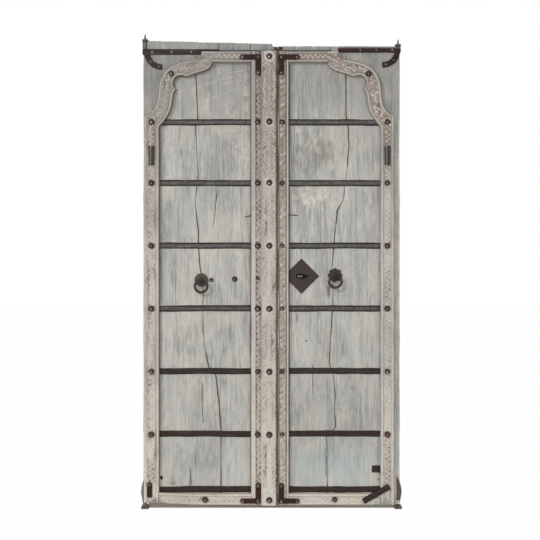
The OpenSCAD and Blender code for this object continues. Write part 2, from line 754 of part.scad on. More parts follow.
module sill() {
    color(plain) difference() {
        translate([-jamb_x, -frame_d / 2, 0]) cube([2 * jamb_x, frame_d, sill_h]);
        tenon_holes(sill_h - tenon_l);
        peg_holes();
        for (way = [-1, 1])
            translate([way * pivot_x - cup_w / 2 - 0.5, -frame_d / 2 - 1, -1])
                cube([cup_w + 1, cup_back + 1.5, cup_t + 1.2]);
    }
}

cup_w = 32;
cup_back = 44;
eye_w = 26;

// cup plate let into the underside of the sill, reaching forward under the pivot
module floor_cup(way) {
    front = pivot_y - 18;
    color(iron) difference() {
        translate([way * pivot_x - cup_w / 2, front, 0])
            cube([cup_w, cup_back - frame_d / 2 - front, cup_t]);
        translate([way * pivot_x, pivot_y, cup_floor]) cylinder(r = pin_r + pin_play, h = cup_t);
    }
}

// cranked strap from the lintel's top to an eye above the leaf
module lintel_eye(s) {
    way = s == LEFT ? -1 : 1;
    low = board_top_z[s] + eye_gap;
    color(iron) difference() {
        union() {
            translate([way * pivot_x - eye_w / 2, 0, 0]) rotate([90, 0, 90]) linear_extrude(eye_w)
                polygon([[18, lintel_top], [18, lintel_top + iron_t], [eye_t - frame_d / 2, lintel_top + iron_t],
                    [eye_t - frame_d / 2, low + eye_t], [pivot_y, low + eye_t], [pivot_y, low],
                    [-frame_d / 2, low], [-frame_d / 2, lintel_top]]);
            translate([way * pivot_x, pivot_y, low]) cylinder(r = eye_w / 2, h = eye_t);
        }
        translate([way * pivot_x, pivot_y, low - 1]) cylinder(r = pin_r + pin_play, h = eye_t + 2);
    }
}

jamb(-1);  // left_jamb
jamb(1);  // right_jamb
lintel();
sill();
frame_pegs();
lintel_eye(LEFT);  // left_lintel_eye
lintel_eye(RIGHT);  // right_lintel_eye
floor_cup(-1);  // left_floor_cup
floor_cup(1);  // right_floor_cup
board(LEFT, true);  // left_outer_board
board(LEFT, false);  // left_inner_board
outer_stile(LEFT);  // left_outer_stile
arch_brace(LEFT);  // left_arch_brace
top_rail(LEFT);  // left_top_rail
inner_stile(LEFT);  // left_inner_stile
bottom_rail(LEFT);  // left_bottom_rail
centre_post();
ledges(LEFT);  // left_ledges
cross_straps(LEFT);  // left_cross_straps
top_pivot(LEFT);  // left_top_pivot
bottom_pivot(LEFT);  // left_bottom_pivot
corner_iron(LEFT, corner_hi, -1);  // left_top_corner_iron
corner_iron(LEFT, corner_lo, 1);  // left_bottom_corner_iron
foot_iron();  // left_foot_iron
stile_plate(LEFT);  // left_stile_plate
stud_set(LEFT);  // left_studs
ring_plate(LEFT);  // left_ring_plate
ring_eye(LEFT);  // left_ring_eye
ring(LEFT);  // left_ring
board(RIGHT, true);  // right_outer_board
board(RIGHT, false);  // right_inner_board
outer_stile(RIGHT);  // right_outer_stile
arch_brace(RIGHT);  // right_arch_brace
top_rail(RIGHT);  // right_top_rail
inner_stile(RIGHT);  // right_inner_stile
bottom_rail(RIGHT);  // right_bottom_rail
ledges(RIGHT);  // right_ledges
cross_straps(RIGHT);  // right_cross_straps
top_pivot(RIGHT);  // right_top_pivot
bottom_pivot(RIGHT);  // right_bottom_pivot
corner_iron(RIGHT, corner_hi, -1);  // right_top_corner_iron
corner_iron(RIGHT, corner_lo, 1);  // right_bottom_corner_iron
foot_bar();  // right_foot_bar
patch_plate();  // right_patch
stile_plate(RIGHT);  // right_stile_plate
stud_set(RIGHT);  // right_studs
ring_plate(RIGHT);  // right_ring_plate
ring_eye(RIGHT);  // right_ring_eye
ring(RIGHT);  // right_ring
lock_plate();
lock_staple();
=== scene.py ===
"""Dresses the carved double door: weathered boards, carved members, forged irons, studs and rings."""

import sys

import itertools
import json
import logging
import math
from collections.abc import Sequence
from dataclasses import dataclass, field
from enum import Enum

import bmesh
import bpy
import numpy as np
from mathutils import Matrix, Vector

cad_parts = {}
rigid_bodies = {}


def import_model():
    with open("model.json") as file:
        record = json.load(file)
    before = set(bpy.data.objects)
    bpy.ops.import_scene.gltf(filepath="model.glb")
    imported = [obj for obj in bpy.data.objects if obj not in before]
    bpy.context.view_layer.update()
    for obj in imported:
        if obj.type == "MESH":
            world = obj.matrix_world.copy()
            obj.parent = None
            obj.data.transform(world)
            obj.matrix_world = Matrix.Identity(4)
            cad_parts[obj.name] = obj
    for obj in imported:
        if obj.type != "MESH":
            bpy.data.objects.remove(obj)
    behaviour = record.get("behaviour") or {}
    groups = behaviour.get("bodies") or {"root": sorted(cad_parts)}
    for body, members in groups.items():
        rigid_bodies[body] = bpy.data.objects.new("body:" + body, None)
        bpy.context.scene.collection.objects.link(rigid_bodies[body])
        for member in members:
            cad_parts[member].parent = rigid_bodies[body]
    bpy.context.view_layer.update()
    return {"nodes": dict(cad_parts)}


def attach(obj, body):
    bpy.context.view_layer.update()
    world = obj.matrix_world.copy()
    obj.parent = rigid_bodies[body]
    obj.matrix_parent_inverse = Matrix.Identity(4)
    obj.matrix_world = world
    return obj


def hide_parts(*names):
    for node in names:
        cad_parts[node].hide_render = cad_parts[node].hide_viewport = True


for default_object in list(bpy.data.objects):
    bpy.data.objects.remove(default_object)
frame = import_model()

LOG = logging.getLogger("door")
MM = 0.001
Array = np.ndarray
Point = tuple[float, float]
Row = tuple[float, float, float, float]
Colour = tuple[float, float, float, float]
Socket = bpy.types.NodeSocket
Material = bpy.types.Material
Mesh = bpy.types.Mesh
Piece = bpy.types.Object
# angles, in degrees, above which an edge stays sharp
RIBBON_CREASE, HEAD_CREASE, NO_CREASE = 40.0, 60.0, 180.0


# ---------------------------------------------------------------- sizes and places


class Side(Enum):
    """The two leaves, as seen from the front."""

    LEFT = "left"
    RIGHT = "right"

    @property
    def body(self) -> str:
        """Name of the CAD body of this leaf."""
        return f"{self.value}_leaf"

    @property
    def index(self) -> int:
        """Place of this leaf in a pair of values."""
        return 0 if self is Side.LEFT else 1


@dataclass(frozen=True)
class DoorSizes:
    """The CAD model's named lengths, in millimetres, in a leaf's own axes.

    u runs from the panel's outer edge to the meeting line, z up from the leaf's foot and d outwards
    from the boards' front face.
    """

    panel_w: float = 405.0
    stile_w: Point = (66.0, 58.0)
    margin: Point = (4.0, 27.0)
    inner_w: float = 45.0
    post_w: float = 70.0
    frame_h: float = 1993.0
    rail_h: float = 48.0
    stile_t: float = 24.0
    post_t: float = 40.0
    board_t: float = 28.0
    rebate: float = 7.0
    arch_reach: float = 232.0
    arch_h: float = 342.0
    lobe_r: float = 35.0
    arch_stud_at: Point = (0.23, 0.285)
    inner_stud_at: float = 0.64
    iron_t: float = 5.0
    strap_w: float = 27.0
    strap_low: float = 65.5
    strap_first: float = 310.0
    strap_pitch: float = 276.2
    strap_top: float = 1683.0
    strap_count: int = 6
    board_end: Point = (523.75, 450.0)
    notch_w: float = 16.5
    origin_x: Point = (-494.75, 479.75)
    face_y: float = -66.0
    lift: float = 22.0
    board_top: tuple[Point, Point] = ((2039.0, 2024.0), (2017.0, 2017.0))

    @property
    def u_meet(self) -> float:
        """Distance of the meeting line from the panel's outer edge."""
        return self.panel_w + self.inner_w

    @property
    def u_post(self) -> float:
        """Middle of the centre post."""
        return self.u_meet + self.post_w / 2

    @property
    def foot_z(self) -> float:
        """Height where the arches stand on the outer stiles."""
        return self.frame_h - self.arch_h

    @property
    def rows(self) -> list[float]:
        """Heights of the cross straps above the lowest one."""
        return [*(self.strap_first + k * self.strap_pitch for k in range(self.strap_count - 1)), self.strap_top]

    @property
    def u_inner(self) -> float:
        """Line of the inner stile's studs."""
        return self.panel_w + self.inner_w * self.inner_stud_at

    @property
    def arch_stud(self) -> Point:
        """Place of the arch's stud."""
        return self.on_arch(*self.arch_stud_at)

    def u_out(self, side: Side) -> float:
        """Outer edge of a leaf's boards."""
        return -self.stile_w[side.index] - self.margin[side.index]

    def u_end(self, side: Side) -> float:
        """Inner edge of a leaf's boards."""
        return self.board_end[side.index]

    def on_arch(self, across: float, down: float) -> Point:
        """Point of the arch, as shares of its reach and height.

        Args:
            across: share of the reach, from the panel's outer edge.
            down: share of the height, from the frame's top.

        Returns:
            The point's u and z.
        """
        return across * self.arch_reach, self.frame_h - down * self.arch_h

    def place(self, side: Side, u: Array, d: Array, z: Array) -> Array:
        """Turns leaf axes into the shared frame.

        Args:
            side: the leaf.
            u: distances from the panel's outer edge, in millimetres.
            d: levels above the boards' face.
            z: heights above the leaf's foot.

        Returns:
            Points in metres, one row each.
        """
        u, d, z = np.broadcast_arrays(np.asarray(u, float), np.asarray(d, float), np.asarray(z, float))
        way = 1.0 if side is Side.LEFT else -1.0
        x = self.origin_x[side.index] + way * u
        return np.stack([x, self.face_y - d, self.lift + z], -1).reshape(-1, 3) * MM


SIZES = DoorSizes()


# ---------------------------------------------------------------- small maths


def lattice(ix: Array, iy: Array, seed: int) -> Array:
    """Repeatable values between 0 and 1 on a grid of whole numbers.

    Args:
        ix: whole numbers across.
        iy: whole numbers along.
        seed: picks the pattern.

    Returns:
        One value for each pair.
    """
    mask = 0xFFFFFFFF
    n = (ix.astype(np.int64) * 374761393 + iy.astype(np.int64) * 668265263 + seed * 974711) & mask
    n = ((n ^ (n >> 13)) * 1274126177) & mask
    return ((n ^ (n >> 16)) & 0xFFFFFF) / 0xFFFFFF


def rough(x: Array, y: Array, seed: int, octaves: int = 3) -> Array:
    """Smooth random relief between about -1 and 1.

    Args:
        x: places across, one unit to a bump.
        y: places along.
        seed: picks the pattern.
        octaves: finer layers that are added.

    Returns:
        The relief at each place.
    """
    x, y = np.broadcast_arrays(np.asarray(x, float), np.asarray(y, float))
    total = np.zeros(x.shape)
    gain = 0.0
    for layer in range(octaves):
        k = 2.0**layer
        px, py = x * k + 37.3 * layer, y * k + 11.9 * layer
        ix, iy = np.floor(px), np.floor(py)
        fx, fy = px - ix, py - iy
        fx, fy = fx * fx * (3 - 2 * fx), fy * fy * (3 - 2 * fy)
        low = lattice(ix, iy, seed + layer) * (1 - fx) + lattice(ix + 1, iy, seed + layer) * fx
        high = lattice(ix, iy + 1, seed + layer) * (1 - fx) + lattice(ix + 1, iy + 1, seed + layer) * fx
        total += (low * (1 - fy) + high * fy - 0.5) * 2 / k
        gain += 1 / k
    return total / gain * 1.4


def bell(x: Array, width: float | Array) -> Array:
    """Rounded bump of height 1 at x = 0."""
    return np.exp(-((x / width) ** 2))


def step(x: Array, low: float, high: float) -> Array:
    """Smooth rise from 0 at low to 1 at high."""
    t = np.clip((x - low) / (high - low), 0, 1)
    return t * t * (3 - 2 * t)


def saw(x: Array) -> Array:
    """Triangle wave from -1 to 1 with a period of 1."""
    return 4 * np.abs((x - np.floor(x)) - 0.5) - 1


def bezier(points: Sequence[Point], count: int) -> Array:
    """Points of a cubic curve.

    Args:
        points: its four control points.
        count: number of points.

    Returns:
        The points, one row each.
    """
    a, b, c, e = (np.array(p, float) for p in points)
    t = np.linspace(0, 1, count)[:, None]
    return a * (1 - t) ** 3 + 3 * b * t * (1 - t) ** 2 + 3 * c * t * t * (1 - t) + e * t**3


def spaced(path: Array, count: int) -> Array:
    """Points at even distances along a path.

    Args:
        path: the path's points.
        count: number of points wanted.

    Returns:
        The spaced points.
    """
    gaps = np.hypot(*np.diff(path, axis=0).T)
    run = np.concatenate([[0], np.cumsum(gaps)])
    at = np.linspace(0, run[-1], count)
    return np.stack([np.interp(at, run, path[:, k]) for k in range(2)], -1)


# ---------------------------------------------------------------- meshes


@dataclass
class Ribbon:
    """A solid whose front is a grid of levels, with stepped edges down to a flat back.

    Rows run along the piece, columns across it. An edge is a list of steps, each an inset towards the
    middle and a level; the last one lies on the back.
    """

    name: str
    side: Side
    u: Array
    z: Array
    d: Array
    first_edge: list[tuple[float | Array, float]]
    last_edge: list[tuple[float | Array, float]]
    marks: dict[str, Array] = field(default_factory=dict)

    def build(self, material: Material) -> Piece:
        """Makes the mesh object.

        Args:
            material: finish of the whole piece.

        Returns:
            The new object, at the origin.
        """
        rows, cols = self.u.shape
        points = [SIZES.place(self.side, self.u, self.d, self.z)]
        index = np.arange(rows * cols).reshape(rows, cols)
        count = rows * cols
        faces = [np.stack([index[:-1, :-1], index[1:, :-1], index[1:, 1:], index[:-1, 1:]], -1).reshape(-1, 4)]
        ends: list[list[list[int]]] = []
        for column, inward, edge in ((0, 1, self.first_edge), (cols - 1, cols - 2, self.last_edge)):
            way_u = self.u[:, inward] - self.u[:, column]
            way_z = self.z[:, inward] - self.z[:, column]
            size = np.maximum(np.hypot(way_u, way_z), 1e-6)
            before = index[:, column]
            steps: list[Array] = []
            for inset, level in edge:
                points.append(
                    SIZES.place(
                        self.side,
                        self.u[:, column] + way_u / size * inset,
                        np.full(rows, level),
                        self.z[:, column] + way_z / size * inset,
                    )
                )
                here = count + np.arange(rows)
                count += rows
                faces.append(np.stack([before[:-1], before[1:], here[1:], here[:-1]], -1))
                steps.append(here)
                before = here
            ends.append(steps)
        first, last = ends
        faces.append(np.stack([first[-1][:-1], first[-1][1:], last[-1][1:], last[-1][:-1]], -1))
        polygons = np.concatenate(faces).tolist()
        for row in (0, rows - 1):
            polygons.append(
                index[row].tolist() + [int(s[row]) for s in last] + [int(s[row]) for s in reversed(first)]
            )
        mesh = bpy.data.meshes.new(self.name)
        mesh.from_pydata(np.concatenate(points).tolist(), [], polygons)
        for mark, values in self.marks.items():
            full = np.full(count, float(np.median(values)))
            full[: rows * cols] = values.ravel()
            set_mark(mesh, mark, full)
        face_out(mesh)
        smooth(mesh, RIBBON_CREASE)
        mesh.materials.append(material)
        return linked(self.name, mesh)


def linked(name: str, data: bpy.types.ID) -> Piece:
    """New object of a mesh, lamp or camera, linked to the scene."""
    piece = bpy.data.objects.new(name, data)
    bpy.context.scene.collection.objects.link(piece)
    return piece


def face_out(mesh: Mesh) -> None:
    """Turns every face of a closed mesh outwards."""
    work = bmesh.new()
    work.from_mesh(mesh)
    bmesh.ops.recalc_face_normals(work, faces=work.faces)
    work.to_mesh(mesh)
    work.free()


def smooth(mesh: Mesh, angle: float) -> None:
    """Shades a mesh smooth and keeps edges sharper than the angle, in degrees."""
    mesh.shade_smooth()
    mesh.set_sharp_from_angle(angle=math.radians(angle))


def vectors(mesh: Mesh, kind: str = "co") -> Array:
    """Places of a mesh's points in metres, or their normals, one row each."""
    values = np.zeros(len(mesh.vertices) * 3, np.float32)
    mesh.vertices.foreach_get(kind, values)
    return values.reshape(-1, 3)


def set_mark(mesh: Mesh, name: str, values: Array) -> None:
    """Keeps one value for each point under a name that the finish reads."""
    mesh.attributes.new(name, "FLOAT", "POINT").data.foreach_set("value", values.astype(np.float32))


def plain_mesh(piece: Piece) -> None:
    """Turns the result of a piece's modifiers into its own mesh and removes them."""
    made = bpy.data.meshes.new_from_object(piece.evaluated_get(bpy.context.evaluated_depsgraph_get()))
    piece.modifiers.clear()
    piece.data = made


def settle(piece: Piece, body: str, slot: str, nodes: Sequence[str] = ()) -> Piece:
    """Lets a finished piece ride on its body and stand for its CAD nodes.

    Args:
        piece: the finished piece.
        body: name of the CAD body.
        slot: the record's material slot; not used.
        nodes: CAD nodes that the piece replaces.

    Returns:
        The same piece.
    """
    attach(piece, body)
    if nodes:
        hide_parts(*nodes)
    LOG.info("%s: %d faces on %s", piece.name, len(piece.data.polygons), body)
    return piece


# ---------------------------------------------------------------- finishes


def tint(red: int, green: int, blue: int) -> Colour:
    """A colour as it is seen on screen, turned into the shader's numbers.

    Args:
        red: 0 to 255.
        green: 0 to 255.
        blue: 0 to 255.

    Returns:
        Linear colour with full alpha.
    """
    parts = [c / 255 for c in (red, green, blue)]
    linear = [c / 12.92 if c <= 0.04045 else ((c + 0.055) / 1.055) ** 2.4 for c in parts]
    return linear[0], linear[1], linear[2], 1.0


class Builder:
    """Adds nodes to one node tree."""

    def __init__(self, tree: bpy.types.NodeTree) -> None:
        """Takes the tree that is built."""
        self.tree = tree

    def feed(self, target: Socket, value: object) -> None:
        """Links a socket, or sets a constant on it."""
        if isinstance(value, bpy.types.NodeSocket):
            self.tree.links.new(value, target)
        else:
            target.default_value = value

    def node(self, kind: str, **links: object) -> bpy.types.Node:
        """Adds a node and feeds its inputs by name.

        Args:
            kind: the node's type.
            links: values or sockets, with spaces in the names written as underscores.

        Returns:
            The node.
        """
        made = self.tree.nodes.new(kind)
        for name, value in links.items():
            self.feed(made.inputs[name.replace("_", " ")], value)
        return made

    def sums(self, kind: str, first: object, second: object) -> Socket:
        """One sum of two values.

        Args:
            kind: Blender's name of the sum.
            first: value or socket.
            second: value or socket.

        Returns:
            The result.
        """
        made = self.node("ShaderNodeMath")
        made.operation = kind
        self.feed(made.inputs[0], first)
        self.feed(made.inputs[1], second)
        return made.outputs[0]

    def scaled(self, vector: Socket, factor: Socket) -> Socket:
        """A vector times a number."""
        made = self.node("ShaderNodeVectorMath")
        made.operation = "SCALE"
        self.feed(made.inputs[0], vector)
        self.feed(made.inputs["Scale"], factor)
        return made.outputs[0]


class Shader(Builder):
    """Builds one procedural material on object coordinates."""

    def __init__(self, name: str, roughness: float, metallic: float = 0.0, specular: float = 0.25) -> None:
        """Starts the material.

        Args:
            name: the finish's name.
            roughness: roughness of the whole surface.
            metallic: share of metal.
            specular: level of the shine.
        """
        self.material = bpy.data.materials.new(name)
        self.material.use_nodes = True
        super().__init__(self.material.node_tree)
        self.tree.nodes.clear()
        self.surface = self.node(
            "ShaderNodeBsdfPrincipled", Roughness=roughness, Metallic=metallic, Specular_IOR_Level=specular
        )
        self.node("ShaderNodeOutputMaterial", Surface=self.surface.outputs["BSDF"])
        self.coords = self.node("ShaderNodeTexCoord").outputs["Object"]

    def noise(self, scale: Sequence[float], detail: float, rough_share: float, warp: float = 0.0) -> Socket:
        """Noise stretched along the axes.

        Args:
            scale: bumps to a metre along x, y and z.
            detail: finer layers.
            rough_share: strength of the finer layers.
            warp: distortion.

        Returns:
            The noise's value, about 0.5 on average.
        """
        where = self.node("ShaderNodeMapping", Scale=scale, Vector=self.coords).outputs["Vector"]
        numbers = {"Scale": 1.0, "Detail": detail, "Roughness": rough_share, "Distortion": warp}
        return self.node("ShaderNodeTexNoise", Vector=where, **numbers).outputs["Fac"]

    def height(self) -> Socket:
        """Height of the surface above the floor."""
        return self.node("ShaderNodeSeparateXYZ", Vector=self.coords).outputs["Z"]

    def mark(self, name: str) -> Socket:
        """Value of one of the piece's own attributes."""
        made = self.node("ShaderNodeAttribute")
        made.attribute_name = name
        return made.outputs["Fac"]

    def between(self, value: Socket, low: float, high: float, top: float, bottom: float = 0.0) -> Socket:
        """Smooth rise from bottom to top as a value goes from low to high.

        Args:
            value: what is read.
            low: where the result is bottom.
            high: where the result is top.
            top: highest result.
            bottom: lowest result.

        Returns:
            The result.
        """
        made = self.node("ShaderNodeMapRange", Value=value, From_Min=low, From_Max=high, To_Min=bottom, To_Max=top)
        made.interpolation_type = "SMOOTHSTEP"
        return made.outputs["Result"]

    def lay(self, base: object, over: object, share: Socket) -> Socket:
        """Lays one colour over another.

        Args:
            base: the lower colour.
            over: the upper colour.
            share: how much of it shows.

        Returns:
            The mixed colour.
        """
        made = self.node("ShaderNodeMix")
        made.data_type = "RGBA"
        for place, value in ((0, share), (6, base), (7, over)):
            self.feed(made.inputs[place], value)
        return made.outputs[2]

    def coats(self, base: object, *layers: tuple[Colour, Socket, float, float, float]) -> Socket:
        """Lays several colours, each where a value lies between two limits.

        Args:
            base: the lowest colour.
            layers: colour, value, its two limits and the most that shows.

        Returns:
            The mixed colour.
        """
        for over, value, low, high, top in layers:
            base = self.lay(base, over, self.between(value, low, high, top))
        return base

    def finish(self, colour: Socket, relief: Socket, depth: float, shine: Socket | None = None) -> Material:
        """Joins colour and relief to the surface.

        Args:
            colour: the base colour.
            relief: height of the fine relief, 0 to 1.
            depth: depth of that relief, in metres.
            shine: roughness, where it varies.

        Returns:
            The finished material.
        """
        bump = self.node("ShaderNodeBump", Strength=1.0, Distance=depth, Height=relief)
        self.feed(self.surface.inputs["Base Color"], colour)
        self.feed(self.surface.inputs["Normal"], bump.outputs["Normal"])
        if shine is not None:
            self.feed(self.surface.inputs["Roughness"], shine)
        return self.material


@dataclass(frozen=True)
class BoardFinish:
    """Pale grey-green weathered boards with grain streaks, limewash patches and stains, with painted shade and painted
    shadows.
    """

    pale: Colour = tint(188, 188, 184)
    grey: Colour = tint(152, 152, 150)
    cream: Colour = tint(212, 204, 189)
    teal: Colour = tint(158, 188, 190)
    rust: Colour = tint(146, 112, 78)
    deep: Colour = tint(74, 62, 52)
    shadow_black: Colour = tint(22, 19, 18)
    green: Colour = tint(166, 166, 150)
    warm: Colour = tint(203, 199, 186)
    dim: Colour = tint(129, 128, 125)
    bright: Colour = tint(214, 213, 208)
    upper_tone: Colour = tint(136, 136, 133)

    def make(self) -> Material:
        """Builds the material."""
        s = Shader("weathered_board", 0.86)
        streak = s.noise((96, 45, 4.6), 5, 0.66, 0.3)
        hair = s.noise((300, 150, 6.0), 3, 0.6)
        mottle = s.noise((120, 120, 15), 5, 0.7, 0.5)
        crumbs = s.noise((70, 70, 48), 4, 0.66)
        c = s.coats(
            self.pale,
            (self.grey, s.noise((9, 9, 1.6), 3, 0.6, 0.6), 0.36, 0.68, 0.75),
            (self.dim, streak, 0.50, 0.70, 0.75),
            (self.bright, streak, 0.48, 0.28, 0.75),
            (self.green, s.noise((16, 16, 9), 4, 0.6, 1.2), 0.54, 0.72, 0.35),
            (self.dim, mottle, 0.51, 0.72, 0.75),
            (self.warm, mottle, 0.47, 0.30, 0.75),
            (self.warm, s.noise((5, 5, 3.5), 3, 0.6, 0.8), 0.48, 0.66, 0.5),
            # darker towards the top
            (self.upper_tone, s.height(), 1.40, 2.10, 0.6),
            (self.cream, s.noise((26, 26, 11), 4, 0.65), 0.56, 0.72, 0.45),
            (self.deep, s.noise((230, 230, 60), 3, 0.62), 0.58, 0.76, 0.45),
            # lighter towards the foot
            (self.bright, s.height(), 0.42, 0.05, 0.45),
            (self.deep, hair, 0.54, 0.74, 0.36),
        )
        c = s.lay(c, self.cream, s.sums("MULTIPLY", s.mark("cream"), s.between(crumbs, 0.40, 0.58, 0.85)))
        c = s.lay(c, self.teal, s.sums("MULTIPLY", s.mark("teal"), s.between(streak, 0.36, 0.60, 0.55)))
        c = s.coats(
            c,
            (self.cream, s.mark("scrape"), 0.1, 0.9, 0.42),
            (self.rust, s.mark("stain"), 0.1, 1.0, 0.75),
            # deep over the hollow mark: dirt, and painted shade in cracks, in the split and beside the frame
            (self.deep, s.mark("hollow"), 0.12, 0.8, 0.95),
            # black over the void mark: painted shadow lines, and painted shadow in holes and the lock's slot
            (self.shadow_black, s.mark("void"), 0.2, 0.6, 1.0),
        )
        return s.finish(c, s.sums("ADD", s.sums("MULTIPLY", hair, 0.5), streak), 0.0022)


@dataclass(frozen=True)
class CarvedFinish:
    """Worn beige-grey carved wood: pale crests, brown dirt in the recesses and painted shade in the grooves and along
    the edges.
    """

    crest: Colour = tint(216, 213, 207)
    field: Colour = tint(198, 191, 181)
    cream: Colour = tint(226, 217, 203)
    grey: Colour = tint(150, 152, 150)
    mauve: Colour = tint(164, 158, 153)
    dirt: Colour = tint(98, 82, 70)
    brown: Colour = tint(158, 134, 112)
    upper_tone: Colour = tint(138, 132, 125)

    def make(self) -> Material:
        """Builds the material."""
        s = Shader("carved_wood", 0.84)
        grain = s.noise((240, 120, 22), 3, 0.6)
        speck = s.noise((330, 330, 330), 2, 0.6)
        chip = s.noise((125, 125, 110), 3, 0.62)
        c = s.coats(
            self.field,
            (self.mauve, s.noise((14, 14, 5), 4, 0.6, 0.5), 0.42, 0.66, 0.8),
            (self.brown, s.noise((26, 26, 7), 4, 0.6, 0.8), 0.55, 0.74, 0.55),
            # darker towards the top, lighter towards the foot
            (self.upper_tone, s.height(), 1.05, 1.90, 0.85),
            (self.cream, s.height(), 0.80, 0.03, 0.85),
            (self.mauve, grain, 0.52, 0.74, 0.6),
            (self.crest, speck, 0.56, 0.72, 0.6),
            (self.crest, chip, 0.55, 0.68, 0.35),
            (self.dirt, chip, 0.43, 0.30, 0.3),
            (self.brown, s.noise((190, 190, 150), 2, 0.6), 0.57, 0.72, 0.65),
            (self.brown, s.mark("stain"), 0.1, 1.0, 0.8),
            (self.grey, s.mark("grey"), 0.15, 0.8, 0.75),
            # dirt colour over the hollow mark: dirt in the carving, and painted shade in its grooves and notches and
            # along its edges
            (self.dirt, s.mark("hollow"), 0.12, 0.95, 0.88),
            (self.crest, s.mark("crest"), 0.15, 0.9, 0.75),
        )
        return s.finish(c, s.sums("ADD", grain, s.sums("MULTIPLY", speck, 0.4)), 0.0018)


@dataclass(frozen=True)
class TimberFinish:
    """Plain sawn timber of the frame and the ledges behind."""

    light: Colour = tint(206, 198, 184)
    dark: Colour = tint(160, 148, 132)
    grey: Colour = tint(192, 188, 180)
    along_x: bool = False

    def make(self) -> Material:
        """Builds the material."""
        s = Shader("level_timber" if self.along_x else "upright_timber", 0.82)
        along, cross = 4.0, 130.0
        scale = (along, cross, cross) if self.along_x else (cross, cross, along)
        grain = s.noise(scale, 4, 0.6, 0.4)
        hair = s.noise([3.5 * v for v in scale], 2, 0.5)
        c = s.coats(
            self.light,
            (self.dark, grain, 0.40, 0.68, 0.8),
            (self.grey, s.noise((7, 7, 7), 4, 0.6), 0.45, 0.68, 0.7),
            (self.dark, hair, 0.58, 0.78, 0.5),
        )
        return s.finish(c, s.sums("ADD", grain, hair), 0.0016)


@dataclass(frozen=True)
class IronFinish:
    """Hand-forged iron with rust, more or less worn, with painted highlights where a piece marks them."""

    name: str
    dark: Colour
    light: Colour
    rust: Colour
    roughness: float
    metallic: float = 0.1
    rusty: float = 0.5
    pits: float = 0.0009
    # worn colour: painted highlights and sheen on the crest mark, and the top pivot's pale paint
    worn: Colour = tint(192, 192, 190)
    gloss: float = 0.2
    drawn: float = 0.6

    def make(self) -> Material:
        """Builds the material."""
        s = Shader(self.name, self.roughness, self.metallic, self.gloss)
        broad = s.noise((22, 22, 22), 4, 0.6, 0.6)
        pit = s.noise((260, 260, 260), 4, 0.62)
        drawn = s.noise((9, 40, 150), 3, 0.6)
        c = s.coats(
            self.dark,
            (self.light, pit, 0.50, 0.74, 0.7),
            (self.rust, broad, 0.46, 0.66, self.rusty),
            (self.rust, s.noise((140, 140, 140), 3, 0.6), 0.60, 0.74, self.rusty),
            (self.light, drawn, 0.50, 0.72, self.drawn),
            (self.dark, drawn, 0.46, 0.30, self.drawn),
            (self.rust, s.height(), 1.15, 0.35, 0.45),
            # crest mark: painted highlights on heads and bars, painted sheen on straps, pale paint on the top pivot
            (self.worn, s.mark("crest"), 0.1, 0.95, 0.95),
        )
        shine = s.between(pit, 0.25, 0.75, self.roughness + 0.18, self.roughness - 0.12)
        return s.finish(c, s.sums("ADD", pit, s.sums("MULTIPLY", broad, 0.6)), self.pits, shine)


def iron_field(name: str, *colours: tuple[int, int, int], **numbers: float) -> Material:
    """Field that makes one iron when the door is dressed.

    Args:
        name: the finish's name.
        colours: its dark, light and rusty colour, 0 to 255.
        numbers: the further values of IronFinish.

    Returns:
        The dataclass field.
    """
    return field(default_factory=IronFinish(name, *(tint(*c) for c in colours), **numbers).make)


@dataclass
class Finishes:
    """All materials of the door."""

    board: Material = field(default_factory=BoardFinish().make)
    carved: Material = field(default_factory=CarvedFinish().make)
    upright: Material = field(default_factory=TimberFinish().make)
    level: Material = field(default_factory=TimberFinish(along_x=True).make)
    iron: Material = iron_field("forged_iron", (40, 36, 35), (88, 83, 80), (56, 38, 32), roughness=0.60)
    rusty: Material = iron_field(
        "rusty_iron", (38, 24, 22), (62, 43, 39), (60, 30, 24), roughness=0.58, rusty=0.7
    )
    stud: Material = iron_field(
        "stud_iron", (50, 39, 36), (92, 77, 71), (82, 56, 48), roughness=0.36, metallic=0.2, pits=0.0004
    )
    worn: Material = iron_field(
        "worn_iron", (86, 82, 79), (124, 120, 115), (100, 86, 76), roughness=0.68, metallic=0.0, rusty=0.6
    )
    pale: Material = iron_field(
        "pale_iron", (128, 134, 136), (166, 172, 174), (104, 96, 90), roughness=0.72, metallic=0.0, rusty=0.4
    )
    lock: Material = iron_field(
        "lock_iron", (58, 52, 49), (94, 89, 85), (80, 56, 50), roughness=0.60, rusty=0.38, drawn=0.0
    )
    plate: Material = iron_field(
        "plate_iron", (82, 73, 68), (122, 113, 106), (108, 82, 68), roughness=0.55, rusty=0.45, drawn=0.0
    )
    ring: Material = iron_field(
        "ring_iron", (46, 40, 37), (106, 97, 90), (60, 45, 39), roughness=0.36, metallic=0.3, rusty=0.4
    )


# ---------------------------------------------------------------- carved members


class Motif(Enum):
    """Carving of a member's field."""

    ZIGZAG = "zigzag ridge"
    STRIP = "zigzag strip beside a plain lip"
    LEAVES = "leaf strokes"
    CHEVRON = "worn chevrons"


@dataclass(frozen=True)
class Patch:
    """A stained, cut or painted place on the wood."""

    mark: str
    u: float
    z: float
    half_u: float
    half_z: float
    strength: float = 1.0

    def distance(self, u: Array, z: Array) -> Array:
        """How far places lie from the middle, 1 at the patch's rim."""
        return np.hypot((u - self.u) / self.half_u, (z - self.z) / self.half_z)


def deepen(marks: dict[str, Array], name: str, share: Array) -> None:
    """Keeps the larger share of a mark."""
    marks[name] = np.maximum(marks[name], share)


